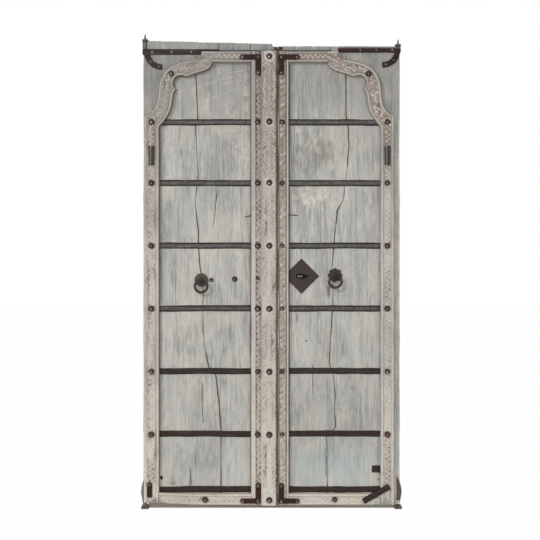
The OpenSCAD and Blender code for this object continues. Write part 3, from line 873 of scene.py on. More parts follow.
# a scarf joint, and lighter and darker stretches on the frame's carved pieces
SCARS: dict[str, list[Patch]] = {
    "right_outer_stile_carved": [
        Patch("hollow", -29, 264, 90, 1.9, 0.6),
        Patch("crest", -29, 690, 60, 270, 0.5),
        Patch("crest", -29, 1265, 60, 190, 0.5),
    ],
    "left_outer_stile_carved": [
        Patch("hollow", -33, 1265, 60, 120, 0.5),
        Patch("crest", -33, 700, 60, 120, 0.4),
        Patch("hollow", -18, 1258, 4, 84, 0.75),
        Patch("hollow", -17, 1008, 5, 17, 0.7),
    ],
    "left_bottom_rail_carved": [Patch("hollow", 90, 24, 170, 60, 0.4)],
    "right_bottom_rail_carved": [Patch("crest", 289, 24, 120, 60, 0.6)],
}


def wander(z: Array, seed: int, size: float) -> Array:
    """Slow hand-cut waver of an edge, in millimetres."""
    return size * rough(z / 90.0, z * 0 + seed, seed, 3)


# worn foot of the left leaf: its lift, its stretch across and its height
FOOT_LIFT, FOOT_FROM, FOOT_TO, FOOT_HIGH = 11.0, -80.0, 190.0, 110.0


def foot_wear(side: Side, u: Array, z: Array) -> Array:
    """How far the worn foot of the left leaf's outer corner has lifted, in millimetres."""
    most = FOOT_LIFT if side is Side.LEFT else 0.0
    return most * (1 - step(u, FOOT_FROM, FOOT_TO)) * np.clip(1 - z / FOOT_HIGH, 0, 1)


@dataclass(frozen=True)
class BandWear:
    """Wear of the members with a zigzag or chevron band: depth, dirt, rubbed edges, flakes and zigzag."""

    least: float = 0.25
    dirt: float = 0.52
    bead: float = 0.55
    border: float = 0.35
    light: float = 0.3
    dark: float = 0.25
    reach: float = 8.5
    pitch: float = 21.0


@dataclass(frozen=True)
class StripWear:
    """Wear of an inner stile: lip's width, cut, pitch, dirt of ground and quirk, rubbed lip and ridge."""

    lip: float
    cut: float
    pitch: float
    dirt: float
    quirk: float
    lip_crest: float
    ridge_crest: float


BAND = BandWear()
ARCH_BAND: dict[Side, BandWear] = {
    Side.LEFT: BandWear(0.1, 0.42, 0.62, 0.5, 0.3, 0.2, 6.5, 25.0),
    Side.RIGHT: BandWear(0.1, 0.42, 0.8, 0.72, 0.75, 0.5, 6.5, 25.0),
}
STRIPS: dict[Side, StripWear] = {
    Side.LEFT: StripWear(20.0, 1.0, 25.0, 0.74, 0.35, 0.4, 0.75),
    Side.RIGHT: StripWear(8.0, 0.8, 30.0, 0.42, 0.85, 0.95, 1.2),
}
# depth of a member's edge where it has no rebate
EDGE_DROP = 9.0


@dataclass
class CarvedMember:
    """One carved piece of a leaf's frame, as a ribbon between two edges."""

    name: str
    side: Side
    first: Array
    last: Array
    motif: Motif
    seed: int
    columns: int
    level: float = SIZES.stile_t
    first_rebate: float = 0.0
    last_rebate: float = SIZES.rebate
    studs: Sequence[Point] = ()

    def _profile(self, a: Array, w: Array, s: Array) -> tuple[Array, Array, Array]:
        """Relief across a member with a plain outer border and a bead on the panel side.

        Args:
            a: distance from the first edge.
            w: width of the member.
            s: distance along it.

        Returns:
            Relief, hollow share and crest share.
        """
        k = ARCH_BAND[self.side] if self.name.endswith("arch_brace_carved") else BAND
        wear = np.clip(0.6 + 0.7 * rough(s / 60, a / 25, self.seed + 5), k.least, 1.0)
        border_at, quirk_at = 10.5, w - 13.5
        inside = step(a, 12.0, 14.0) * (1 - step(a, w - 17.5, w - 15.5))
        mid = (12.5 + w - 15.5) / 2
        if self.motif is Motif.CHEVRON:
            ridge = bell(saw(s / 22.0) * (w - 28.0) / 2 * 0.8 - (a - mid), 2.6)
            chips = np.maximum(0, rough(s / 7.0, a / 6.0, self.seed + 9, 2)) ** 1.5
            ground = -1.9 * (1 - ridge) * wear - 1.2 * chips
        else:
            ridge = bell(a - (mid + k.reach * saw(s / k.pitch)), 2.3)
            chips = np.maximum(0, rough(s / 8.0, a / 7.0, self.seed + 9, 2)) ** 1.5
            ground = -2.4 * (1 - ridge) * wear - 1.2 * chips
        bead = 1.2 * bell(a - (w - 6.5), 4.0) - 6.0 * np.clip((a - (w - 4.5)) / 4.5, 0, 1) ** 2
        h = bead - 3.0 * np.clip(1 - a / 4.0, 0, 1) ** 2 + inside * ground
        h = h - 2.4 * bell(a - border_at, 1.5) - 3.4 * bell(a - quirk_at, 1.9)
        flakes = rough(s / 6.5, a / 6.0, self.seed + 13, 2)
        hollow = inside * ((1 - ridge) * k.dirt * wear + k.dark * step(-flakes, 0.3, 0.65))
        # painted shade in the border and quirk grooves and down the edge on the panel's side
        hollow = hollow + 0.4 * bell(a - border_at, 1.6) + 0.5 * bell(a - quirk_at, 1.9)
        hollow = hollow + 0.5 * np.clip((a - (w - 3.0)) / 3.0, 0, 1)
        crest = inside * (ridge * (0.25 + 0.85 * wear) + k.light * step(flakes, 0.25, 0.6))
        crest = crest + 0.9 * k.bead * bell(a - (w - 7.0), 3.5) + k.border * bell(a - 5, 4)
        return h, hollow, crest

    def _strip(self, a: Array, w: Array, s: Array) -> tuple[Array, Array, Array]:
        """Relief of an inner stile: a plain lip on the panel side, then a carved strip.

        Args:
            a: distance from the panel's edge.
            w: width of the member.
            s: distance along it.

        Returns:
            Relief, hollow share and crest share.
        """
        k, curled = STRIPS[self.side], self.side is Side.RIGHT
        wear = 0.65 + 0.35 * rough(s / 80, a / 20, self.seed + 5)
        inside = step(a, k.lip + 1.0, k.lip + 3.0) * (1 - step(a, w - 3.5, w - 2.0))
        mid, half = (k.lip + w - 1.0) / 2, (w - k.lip - 5.0) / 2
        beat = s / k.pitch
        if curled:
            beat = beat + 0.25 * rough(s / 110, s * 0, self.seed + 6, 2)
        place = (np.mod(beat + 0.25, 1) - 0.5) * k.pitch
        ridge = bell(a - (mid + 0.75 * half * saw(beat)), 2.6)
        pit = bell(np.hypot(a - k.lip - 3.0, place), 2.6)
        if curled:
            curl = np.hypot((a - w + 13.0 + 0.35 * place) / 7.5, place / 9.0)
            kept = np.clip(0.45 + 1.3 * rough(s / 34, s * 0 + 2, self.seed + 8, 2), 0, 1)
            ridge = np.maximum(0.6 * ridge, bell(curl, 0.75) * kept)
            pit = bell(np.hypot(a - w + 17.0, (np.mod(beat + 0.75, 1) - 0.5) * k.pitch), 3.2)
        quirk = bell(a - k.lip - 1.5, 2.2)
        h = -5.0 * np.clip(1 - a / 4.0, 0, 1) - 3.2 * quirk - 2.0 * np.clip((a - (w - 3)) / 3, 0, 1) ** 2
        h = h - k.cut * (3.0 * inside * (1 - ridge) * wear + 2.5 * pit)
        flakes = rough(s / 6.0, a / 5.0, self.seed + 13, 2)
        hollow = inside * ((1 - ridge) * k.dirt * wear + 0.35 * step(-flakes, 0.25, 0.6))
        # dirt and painted shade in the quirk and the pits
        hollow = hollow + k.quirk * quirk + 0.5 * pit
        crest = inside * (ridge * k.ridge_crest * wear + 0.36 * step(flakes, 0.25, 0.6))
        return h, hollow, crest + k.lip_crest * bell(a - k.lip / 2, k.lip / 2.2)

    def _leaves(self, a: Array, w: Array, s: Array) -> tuple[Array, Array, Array]:
        """Ground of the centre post, on which the leaf strokes and pearls stand.

        Args:
            a: distance from the left edge.
            w: width of the post.
            s: height.

        Returns:
            Relief, hollow share and crest share.
        """
        c = a - w / 2
        h = -4.0 * np.clip(1 - a / 4.5, 0, 1) ** 2 - 4.0 * np.clip(1 - (w - a) / 4.5, 0, 1) ** 2
        quirk = bell(a - 3.0, 1.4) + bell(a - (w - 4.5), 1.6)
        near = np.min([np.abs(s - z) for z in post_lines()], axis=0)
        bay = step(near, 36.0, 40.0)
        ground = step(near, 38.0, 62.0) * step(np.abs(c), 7.0, 13.0) * (1 - step(np.abs(c), 28.0, 32.0))
        bar = bell(near - 31.0, 1.6) * (np.abs(c) < 25)
        notch = (0.5 + 0.5 * np.cos(2 * np.pi * s / 15.0)) * bell(a - (w - 4.0), 3.0)
        h = h - 2.6 * quirk - 2.4 * ground - 1.4 * bar - 2.4 * notch
        flakes = rough(s / 6.0, a / 5.0, 93, 2) * step(a, 3.0, 8.0) * (1 - step(a, w - 11.0, w - 7.0))
        hollow = 0.3 * quirk + (0.37 + 0.16 * rough(s / 30, a / 12, 97, 2)) * ground + 0.4 * bar
        # painted shade in the notches and down the right edge, beside the right inner stile
        hollow = hollow + 0.75 * notch + 0.6 * bell(a - (w - 2), 3.5) + 0.24 * step(-flakes, 0.28, 0.62)
        crest = bay * bell(c, 7.0) * 0.2 + (1 - bay) * 0.25 + 0.4 * step(flakes, 0.28, 0.62)
        return h, hollow, crest

    def _stains(self, u: Array, z: Array, a: Array, w: Array, s: Array) -> Array:
        """Brown stains: a faint cloud, drips below the studs and dirt along some edges.

        Args:
            u: places across the leaf.
            z: heights.
            a: distance from the first edge.
            w: width of the member.
            s: distance along it.

        Returns:
            The stained share.
        """
        cloud = (0.5, 0.3)[self.side.index]
        stain = np.clip(rough(a / 30, s / 120, self.seed + 7, 3) * 1.2 - 0.1, 0, 1) * cloud
        for su, sz in self.studs:
            drip = bell(u - su, 7.0) * step(sz - z, -10, 6) * np.exp(-np.maximum(sz - z, 0) / 45)
            stain = np.maximum(stain, 0.75 * drip)
        if self.motif is Motif.LEAVES:
            return np.maximum(stain, 0.9 * step(a, w - 8.0, w - 4.5))
        if self.side is Side.RIGHT and self.name.split("_")[1] in ("arch", "top"):
            return np.maximum(stain, 0.5 * step(a, 11.0, 14.0) * (1 - step(a, w - 16.0, w - 13.0)))
        if self.side is Side.RIGHT and self.motif is Motif.STRIP:
            return np.maximum(stain, 0.5 * step(a, 9.0, 12.0) + 0.45 * step(a, w - 9.0, w - 4.0))
        return stain

    def _edge(self, depth: float) -> list[Point]:
        """Steps of one edge, with or without the rebate behind it."""
        if depth:
            return [(0.0, SIZES.rebate), (depth, SIZES.rebate), (depth, 0.0)]
        return [(0.0, self.level - EDGE_DROP), (0.0, 0.0)]

    def build(self, finish: Material) -> Piece:
        """Makes the carved piece.

        Args:
            finish: the carved wood.

        Returns:
            The new object.
        """
        t = np.linspace(0, 1, self.columns)[None, :]
        u = self.first[:, :1] * (1 - t) + self.last[:, :1] * t
        z = self.first[:, 1:] * (1 - t) + self.last[:, 1:] * t
        width = np.hypot(*(self.last - self.first).T)[:, None]
        middle = (self.first + self.last) / 2
        run = np.concatenate([[0], np.cumsum(np.hypot(*np.diff(middle, axis=0).T))])[:, None]
        a, s = t * width, run + 0 * t
        maker = {Motif.STRIP: self._strip, Motif.LEAVES: self._leaves}.get(self.motif, self._profile)
        h, hollow, crest = maker(a, width, s)
        check = 0.4 * np.maximum(0, rough(a / 11, s / 240, self.seed + 3, 2) - 0.66)
        h = h + 0.5 * rough(a / 40, s / 160, self.seed, 3) + 0.35 * rough(a / 5, s / 26, self.seed + 2, 2)
        h = h - 4.0 * check
        for su, sz in self.studs:
            near = np.hypot(u - su, z - sz)
            pad = bell(near, 15.0)
            h = h * (1 - 0.8 * pad)
            hollow = hollow * (1 - 0.6 * pad) + 0.35 * bell(near - 15, 4.0)
            crest = crest + 0.4 * pad
            if self.motif is Motif.LEAVES:
                crest = crest + (0.5 if sz > SIZES.strap_top else 0.2) * bell(near - 20.0, 2.4)
        marks = {"hollow": hollow, "crest": crest, "stain": self._stains(u, z, a, width, s)}
        for scar in SCARS.get(self.name, ()):
            deepen(marks, scar.mark, scar.strength * bell(scar.distance(u, z), 1.0))
        marks["hollow"] = np.clip(marks["hollow"] + 2.0 * check, 0, 1)
        marks["crest"] = np.clip(marks["crest"], 0, 1)
        z = z + foot_wear(self.side, u, z)
        first_waver = wander(z[:, 0], self.seed + 11, 0.7)[:, None]
        last_waver = wander(z[:, 0] + 500, self.seed + 12, 0.5)[:, None]
        u = u + first_waver * (1 - t) + last_waver * t
        bare = np.hypot((u + 12) / 46, (z - 4) / 24) + 0.3 * rough(u / 12, z / 9, self.seed + 15, 2)
        marks["grey"] = bell(bare, 1.0)
        edges = [self._edge(depth) for depth in (self.first_rebate, self.last_rebate)]
        return Ribbon(self.name, self.side, u, z, self.level + h, *edges, marks).build(finish)


def post_lines() -> list[float]:
    """Heights of the post's studs."""
    half = SIZES.rail_h / 2
    return [half, *SIZES.rows, SIZES.frame_h - half]


def upright(u: float, low: float, high: float, pitch: float) -> Array:
    """Edge of an upright member.

    Args:
        u: its place across.
        low: its foot.
        high: its top.
        pitch: distance between points.

    Returns:
        The edge's points.
    """
    z = np.linspace(low, high, int((high - low) / pitch) + 1)
    return np.stack([np.full_like(z, u), z], -1)


def level_edge(z: float, low: float, high: float, pitch: float) -> Array:
    """Edge of a level member.

    Args:
        z: its height.
        low: where it starts across.
        high: where it ends.
        pitch: distance between points.

    Returns:
        The edge's points.
    """
    u = np.linspace(low, high, int((high - low) / pitch) + 1)
    return np.stack([u, np.full_like(u, z)], -1)


@dataclass
class ArchEdges:
    """The two edges of a cusped arch, cut into stretches that face each other."""

    side: Side
    counts: tuple[int, int, int] = (64, 96, 140)

    def outer(self) -> Array:
        """Outer edge, from the rail down to the stile."""
        on = SIZES.on_arch
        w = SIZES.stile_w[self.side.index]
        top = np.array([[SIZES.arch_reach, SIZES.frame_h], on(0.806, 0)])
        low = np.array([[-w, SIZES.frame_h - 0.839 * SIZES.arch_h], [-w, SIZES.foot_z]])
        stretches = [
            np.concatenate([top, bezier([on(0.806, 0), on(0.793, 0.076), on(0.759, 0.099), on(0.69, 0.111)], 20)]),
            bezier([on(0.69, 0.111), on(0.31, 0.14), on(0.06, 0.205), on(0.009, 0.439)], 60),
            np.concatenate(
                [bezier([on(0.009, 0.439), on(-0.026, 0.643), on(0, 0.754), tuple(low[0])], 60), low[1:]]
            ),
        ]
        return self._joined(stretches)

    def inner(self) -> Array:
        """Inner edge with its cusps and lobe."""
        on = SIZES.on_arch
        centre = np.array(on(0.414, 0.409))
        turn = np.radians(np.linspace(51.0, 234.0, 60))
        lobe = centre + SIZES.lobe_r * np.stack([np.cos(turn), np.sin(turn)], -1)
        start = (SIZES.arch_reach, SIZES.frame_h - SIZES.rail_h)
        stretches = [
            bezier([start, on(0.99, 0.263), on(0.74, 0.257), tuple(lobe[0])], 60),
            lobe,
            np.concatenate(
                [
                    bezier([tuple(lobe[-1]), on(0.185, 0.57), on(0.36, 0.72), on(0, 0.965)], 60),
                    np.array([[0.0, SIZES.foot_z]]),
                ]
            ),
        ]
        return self._joined(stretches)

    def _joined(self, stretches: list[Array]) -> Array:
        """Spaces each stretch by its own count and joins them."""
        parts = [spaced(p, n)[:-1] for p, n in zip(stretches[:-1], self.counts[:-1], strict=True)]
        return np.concatenate([*parts, spaced(stretches[-1], self.counts[-1])])


@dataclass
class LeafFrame:
    """The carved frame of one leaf: outer stile, arch, rails and inner stile."""

    side: Side
    finish: Material
    pitch: float = 3.0
    rail_pitch: float = 2.5
    seeds: tuple[int, int] = (20, 60)

    def build(self) -> None:
        """Makes the members and lets them ride on the leaf."""
        z, side = SIZES, self.side
        w = z.stile_w[side.index]
        arch = ArchEdges(side)
        outer = [upright(u, 0, z.foot_z, self.pitch) for u in (-w, 0)]
        inner = [upright(u, 0, z.frame_h, self.pitch) for u in (z.panel_w, z.u_meet)]
        top = [level_edge(at, z.arch_reach, z.panel_w, self.rail_pitch) for at in (z.frame_h, z.frame_h - z.rail_h)]
        foot = [level_edge(at, 0, z.panel_w, self.rail_pitch) for at in (0, z.rail_h)]
        outer_studs, inner_studs = ([(u, r) for r in z.rows] for u in (-w / 2, z.u_inner))
        slim = {"first_rebate": 3.0, "last_rebate": 4.0, "studs": [z.arch_stud, outer_studs[-1]]}
        lipped = {"first_rebate": z.rebate, "last_rebate": 0.0, "studs": inner_studs}
        plan = (
            ("outer_stile", outer, Motif.ZIGZAG, 38, {"studs": outer_studs}),
            ("arch_brace", (arch.outer(), arch.inner()), Motif.ZIGZAG, 34, slim),
            ("top_rail", top, Motif.CHEVRON, 26, {}),
            ("bottom_rail", foot, Motif.CHEVRON, 26, {"studs": [(z.panel_w / 2, z.rail_h / 2)]}),
            ("inner_stile", inner, Motif.STRIP, 28, lipped),
        )
        for k, (name, edges, motif, columns, more) in enumerate(plan):
            node = f"{side.value}_{name}"
            seed = self.seeds[side.index] + k
            member = CarvedMember(f"{node}_carved", side, *edges, motif, seed, columns, **more)
            settle(member.build(self.finish), side.body, "carved_wood", [node])


@dataclass
class CentrePost:
    """The carved post on the left leaf's meeting edge."""

    finish: Material
    pitch: float = 2.6
    leaf_pitch: float = 13.4
    leaf_half: tuple[float, float, float] = (2.7, 3.6, 14.5)
    leaf_sunk: float = 2.4
    spread: float = 20.5
    lean: float = 36.0
    clear: float = 50.0
    slips: tuple[float, float, float] = (1.2, 1.6, 7.0)
    worn_above: float = 0.72
    pearl_r: float = 3.0
    pearl_pitch: float = 8.4
    pearl_off: float = 34.0
    pearl_sunk: float = 0.8

    def build(self) -> None:
        """Makes the post, its leaf strokes and its pearls."""
        z = SIZES
        edges = [upright(u, 0, z.frame_h, self.pitch) for u in (z.u_meet, z.u_meet + z.post_w)]
        studs = [(z.u_post, r) for r in post_lines()]
        post = CarvedMember(
            "centre_post_carved", Side.LEFT, *edges, Motif.LEAVES, 91, 46, z.post_t, last_rebate=0.0, studs=studs
        )
        settle(post.build(self.finish), Side.LEFT.body, "carved_wood", ["centre_post"])
        settle(self._strokes(), Side.LEFT.body, "carved_wood")
        settle(self._pearls(), Side.LEFT.body, "carved_wood")

    def _strokes(self) -> Piece:
        """Leaf strokes that point up in the upper half of each bay and down in the lower."""
        u, z, turn = [], [], []
        hand = np.random.default_rng(29)
        lines = post_lines()
        for low, high in zip(lines[:-1], lines[1:], strict=True):
            middle = (low + high) / 2
            count = int(((high - low) / 2 - self.clear) / self.leaf_pitch)
            for k, across, up in itertools.product(range(count), (-1, 1), (-1, 1)):
                *slips, worn = hand.uniform(-1, 1, 4)
                if worn > self.worn_above:
                    continue
                aside, along, sway = np.array(slips) * self.slips
                u.append(SIZES.u_post + across * (self.spread + aside))
                z.append(middle + up * ((k + 0.5) * self.leaf_pitch + along))
                turn.append(-across * up * math.radians(self.lean + sway))
        points = SIZES.place(Side.LEFT, np.array(u), SIZES.post_t - self.leaf_sunk, np.array(z))
        size = np.array(self.leaf_half) * MM * hand.uniform(0.8, 1.1, (len(u), 1))
        return scatter("centre_post_leaves", points, size, np.array(turn), STROKE.tree(self.finish), 3)

    def _pearls(self) -> Piece:
        """Rows of small pearls above and below each stud."""
        grid = itertools.product(post_lines()[1:-1], (-1, 1), range(-2, 3))
        u, z = np.array(
            [(SIZES.u_post + k * self.pearl_pitch, line + way * self.pearl_off) for line, way, k in grid]
        ).T
        points = SIZES.place(Side.LEFT, u, SIZES.post_t - self.pearl_sunk, z)
        size = np.full((len(u), 3), self.pearl_r * MM)
        return scatter("centre_post_pearls", points, size, np.zeros(len(u)), STROKE.tree(self.finish), 5)


# ---------------------------------------------------------------- what repeats


class Tree(Builder):
    """Builds one Geometry Nodes tree that sets a small form on each point of a mesh."""

    least: float = 0.90
    most: float = 1.07

    def __init__(self, name: str) -> None:
        """Starts the tree with its sockets for geometry."""
        super().__init__(bpy.data.node_groups.new(name, "GeometryNodeTree"))
        for way in ("INPUT", "OUTPUT"):
            self.tree.interface.new_socket("Geometry", in_out=way, socket_type="NodeSocketGeometry")
        self.entry, self.out = self.node("NodeGroupInput"), self.node("NodeGroupOutput")

    def size(self, name: str, kind: str, value: float | int) -> Socket:
        """Adds a named input.

        Args:
            name: the input's name.
            kind: Blender's socket type.
            value: its default.

        Returns:
            The socket to link from.
        """
        item = self.tree.interface.new_socket(name, in_out="INPUT", socket_type=kind)
        item.default_value = value
        return self.entry.outputs[name]

    def named(self, attribute: str, kind: str) -> Socket:
        """Reads a named attribute of the points."""
        made = self.node("GeometryNodeInputNamedAttribute", Name=attribute)
        made.data_type = kind
        return made.outputs["Attribute"]

    def close(self, form: Socket, dent: Socket, grain: float, seed: Socket, finish: Material) -> None:
        """Sets the form on the points, dents it by hand and gives it its finish.

        Args:
            form: the small form, one unit in radius.
            dent: depth of the dents.
            grain: dents to a metre.
            seed: fixed seed of the random sizes.
            finish: material of all copies.
        """
        varied = self.node("FunctionNodeRandomValue", Seed=seed)
        varied.data_type = "FLOAT"
        varied.inputs[2].default_value = self.least
        varied.inputs[3].default_value = self.most
        size = self.scaled(self.named("size", "FLOAT_VECTOR"), varied.outputs[1])
        turn = self.node("ShaderNodeCombineXYZ", Y=self.named("turn", "FLOAT")).outputs[0]
        points = self.entry.outputs["Geometry"]
        put = self.node("GeometryNodeInstanceOnPoints", Points=points, Instance=form, Rotation=turn, Scale=size)
        real = self.node("GeometryNodeRealizeInstances", Geometry=put.outputs[0])
        position = self.node("GeometryNodeInputPosition").outputs[0]
        noise = self.node("ShaderNodeTexNoise", Scale=grain, Vector=position).outputs[0]
        push = self.sums("MULTIPLY", self.sums("SUBTRACT", noise, 0.5), dent)
        shift = self.scaled(self.node("GeometryNodeInputNormal").outputs[0], push)
        moved = self.node("GeometryNodeSetPosition", Geometry=real.outputs[0], Offset=shift)
        dressed = self.node("GeometryNodeSetMaterial", Geometry=moved.outputs[0], Material=finish)
        self.feed(self.out.inputs[0], dressed.outputs[0])


@dataclass(frozen=True)
class Form:
    """A small round form that Geometry Nodes repeat, with its dents, facets and tilt."""

    name: str
    dent: float
    grain: float
    segments: int
    rings: int
    tilt: float = 0.0

    def tree(self, finish: Material) -> bpy.types.NodeTree:
        """Builds the form's tree.

        Args:
            finish: material of all copies.

        Returns:
            The node group.
        """
        tree = Tree(self.name)
        dent = tree.size("Dent", "NodeSocketFloat", self.dent)
        seed = tree.size("Seed", "NodeSocketInt", 1)
        ball = tree.node("GeometryNodeMeshUVSphere", Segments=self.segments, Rings=self.rings, Radius=1.0)
        tilted = tree.node("GeometryNodeTransform", Geometry=ball.outputs[0], Rotation=(self.tilt, 0.0, 0.0))
        tree.close(tilted.outputs[0], dent, self.grain, seed, finish)
        return tree.tree


# leaf strokes and pearls; forged heads with hammer marks
STROKE = Form("carved_strokes", 0.0009, 160.0, 8, 7)
STUD = Form("stud_heads", 0.0016, 70.0, 16, 14, math.pi / 2)
# rubbed share of carved forms
EVEN_CREST = 0.88


def scatter(
    name: str, points: Array, size: Array, turn: Array, tree: bpy.types.NodeTree, seed: int, painted_sheen: bool = False
) -> Piece:
    """Sets a tree's form on points and makes the result a plain mesh.

    Args:
        name: the piece's name.
        points: places in metres.
        size: half sizes of the form at each place, in metres.
        turn: turn about the line from front to back, in radians.
        tree: the node group.
        seed: fixed seed of the random sizes.
        painted_sheen: a painted highlight on a small spot of each front, and no pale share elsewhere.

    Returns:
        The new object.
    """
    mesh = bpy.data.meshes.new(name)
    mesh.from_pydata(points.tolist(), [], [])
    mesh.attributes.new("size", "FLOAT_VECTOR", "POINT").data.foreach_set("vector", size.astype(np.float32).ravel())
    set_mark(mesh, "turn", turn)
    piece = linked(name, mesh)
    modifier = piece.modifiers.new("set", "NODES")
    modifier.node_group = tree
    for item in tree.interface.items_tree:
        if item.name == "Seed":
            modifier[item.identifier] = seed
    plain_mesh(piece)
    count = len(piece.data.vertices)
    crest = np.full(count, EVEN_CREST)
    # a painted highlight a little below the middle of each head's front, of random strength
    if painted_sheen:
        own = np.arange(count) * len(points) // count
        away = (vectors(piece.data) - points[own]) / size[own].max(axis=1, keepdims=True)
        spot = np.hypot(away[:, 0] + 0.12, away[:, 2] + 0.24)
        bright = np.random.default_rng(seed).uniform(0.5, 1.0, len(points))[own]
        crest = bright * bell(spot, 0.31) * (away[:, 1] < 0)
    set_mark(piece.data, "crest", crest)
    face_out(piece.data)
    smooth(piece.data, HEAD_CREASE)
    return piece


# bent nails left in the boards: place across, height, half length and lean
BENT_NAILS: dict[Side, Row] = {Side.LEFT: (392, 1269, 19, -0.24), Side.RIGHT: (384, 1274, 20, 0.05)}
BENT_HALF, BENT_LEVEL = (2.6, 2.4), 2.0
# corner irons: length and half width of an arm, gaps to the meeting line and to the frame's top and foot
ARM_LENGTH, ARM_HALF = 92.0, 11.5
CORNER_IN, CORNER_TOP, CORNER_FOOT = 2.0, 14.0, 6.0


def arm_ends(top: bool) -> list[Row]:
    """Nails at the free ends of a corner iron's arms, with the way along each arm.

    Args:
        top: the iron at the frame's top.

    Returns:
        Place across, height and way across and up of each end.
    """
    way = -1.0 if top else 1.0
    level = SIZES.frame_h - CORNER_TOP - ARM_HALF if top else CORNER_FOOT + ARM_HALF
    near = SIZES.u_meet - CORNER_IN - ARM_HALF
    reach = ARM_LENGTH - 2 * ARM_HALF
    return [(near - reach, level, -1.0, 0.0), (near, level + way * reach, 0.0, way)]


@dataclass
class StudSet:
    """Studs and nails of one leaf."""

    side: Side
    finish: Material
    nail_finish: Material
    stud_r: float = 13.0
    stud_h: float = 10.0
    nail_r: float = 9.0
    corner_r: float = 11.8
    post_r: float = 14.3
    inner_r: Point = (13.0, 11.0)
    arm_r: float = 66.0
    arm_nail_r: float = 6.5
    arm_turns: Point = (222.0, 258.0)
    arm_in: Point = (15.0, 9.0)
    strap_length: Point = (330.0, 270.0)
    strap_rise: Point = (0.0, 9.5)
    strap_shares: tuple[float, float, float] = (0.12, 0.38, 0.64)
    sunk: float = 0.5
    last_turn: float = 9.0

    def places(self) -> list[Row]:
        """Place across, height, level and head radius of each head."""
        z, side = SIZES, self.side
        w = z.stile_w[side.index]
        iron = z.stile_t + z.iron_t
        heads = [(-w / 2, r, z.stile_t, self.stud_r) for r in z.rows]
        heads += [(z.u_inner, r, z.stile_t, self.inner_r[side.index]) for r in z.rows]
        heads += [(*at, z.stile_t, self.stud_r) for at in (z.arch_stud, (z.panel_w / 2, z.rail_h / 2))]
        for top in (True, False):
            (far, level, *_), (near, beyond, *_) = arm_ends(top)
            heads += [(*at, iron, self.corner_r) for at in ((near, level), (far, level), (near, beyond))]
        if side is Side.LEFT:
            heads += [(z.u_post, r, z.post_t, self.post_r) for r in post_lines()]
            # beside the ring's plate, on the panel, on the inner stile and on the foot iron
            heads += [
                (228.8, 988.0, 0.0, self.nail_r + 2),
                (z.panel_w * 0.82, 992.0, 0.0, self.stud_r),
                (z.u_inner, 996.0, z.stile_t, self.nail_r),
                (-41.0, 90.7, iron, self.corner_r),
            ]
        return heads

    def pivot_nails(self, pale: bool) -> list[Row]:
        """Small nails on the strap and the curved arm of the top pivot.

        Args:
            pale: the pale ones, not the dark ones.

        Returns:
            Place across, height, level and head radius of each.
        """
        k, t = self.side.index, SIZES.iron_t
        start, level = SIZES.u_out(self.side), SIZES.frame_h + self.strap_rise[k]
        centre = start + self.arm_in[k] + self.arm_r
        nails = [(start + share * self.strap_length[k], level, t, self.nail_r - 1) for share in self.strap_shares]
        for turn in np.radians(self.arm_turns):
            across, up = self.arm_r * math.cos(turn), self.arm_r * math.sin(turn)
            nails.append((centre + across, level + up, t, self.arm_nail_r))
        bare = ((0, 1, 2, 3, 4), (0, 4))[k]
        return [nail for place, nail in enumerate(nails) if (place in bare) == pale]

    def _laid(self, heads: list[Row]) -> tuple[Array, Array, Array]:
        """Points, sizes and turns of some heads."""
        u, z, level, radius = np.array(heads).T
        size = np.stack([radius, radius * self.stud_h / self.stud_r, radius], -1) * MM
        return SIZES.place(self.side, u, level - self.sunk, z), size, np.linspace(0, self.last_turn, len(heads))

    def build(self) -> None:
        """Makes the heads by Geometry Nodes: a piece of paler nails and one for the CAD studs."""
        side = self.side
        pale = self._laid(self.pivot_nails(True))
        nails = scatter(f"{side.value}_pivot_nails", *pale, STUD.tree(self.nail_finish), 21 + side.index, True)
        settle(nails, side.body, "iron_stud")
        points, size, turn = self._laid(self.places() + self.pivot_nails(False))
        u, z, half, lean = BENT_NAILS[side]
        points = np.concatenate([points, SIZES.place(side, u, BENT_LEVEL, z)])
        size = np.concatenate([size, np.array([[half, *BENT_HALF]]) * MM])
        turn = np.append(turn, lean)
        heads = scatter(
            f"{side.value}_stud_heads", points, size, turn, STUD.tree(self.finish), 11 + side.index, True
        )
        settle(heads, side.body, "iron_stud", [f"{side.value}_studs"])


# ---------------------------------------------------------------- boards


# run of each leaf's main split, from the top down: place across and height
SPLITS: dict[Side, list[Point]] = {
    Side.LEFT: [
        (160, 2052), (160, 1898), (171, 1700), (158, 1670), (171, 1454), (165, 1397), (157, 1340),
        (171, 1208), (173, 1155), (177, 1067), (184, 1018), (195, 930), (191, 882), (193, 768),
        (200, 693), (219, 605), (250, 565), (262, 455), (272, 328), (272, 0),
    ],
    Side.RIGHT: [
        (152, 2052), (151, 1709), (141, 1650), (138, 1590), (148, 1472), (163, 1344), (192, 1287),
        (203, 1164), (212, 1045), (207, 926), (216, 781), (226, 622), (207, 570), (197, 473), (203, 424),
        (196, 341), (237, 292), (232, 222), (234, 0),
    ],
}
# hairline cracks of each leaf's boards, point by point
CRACKS: dict[Side, list[list[Point]]] = {
    Side.LEFT: [
        [(256, 1388), (238, 1221)], [(187, 539), (193, 354)], [(136, 160), (138, 81)],
        [(263, 1985), (263, 2040)], [(402, 1985), (402, 2040)], [(95, 1570), (97, 1530)],
    ],
    Side.RIGHT: [
        [(377, 1985), (377, 2040)], [(223, 1985), (223, 2040)], [(150, 1930), (152, 2040)],
        [(300, 620), (296, 480)], [(240, 250), (238, 120)], [(188, 1306), (191, 1274), (196, 1232)],
    ],
}
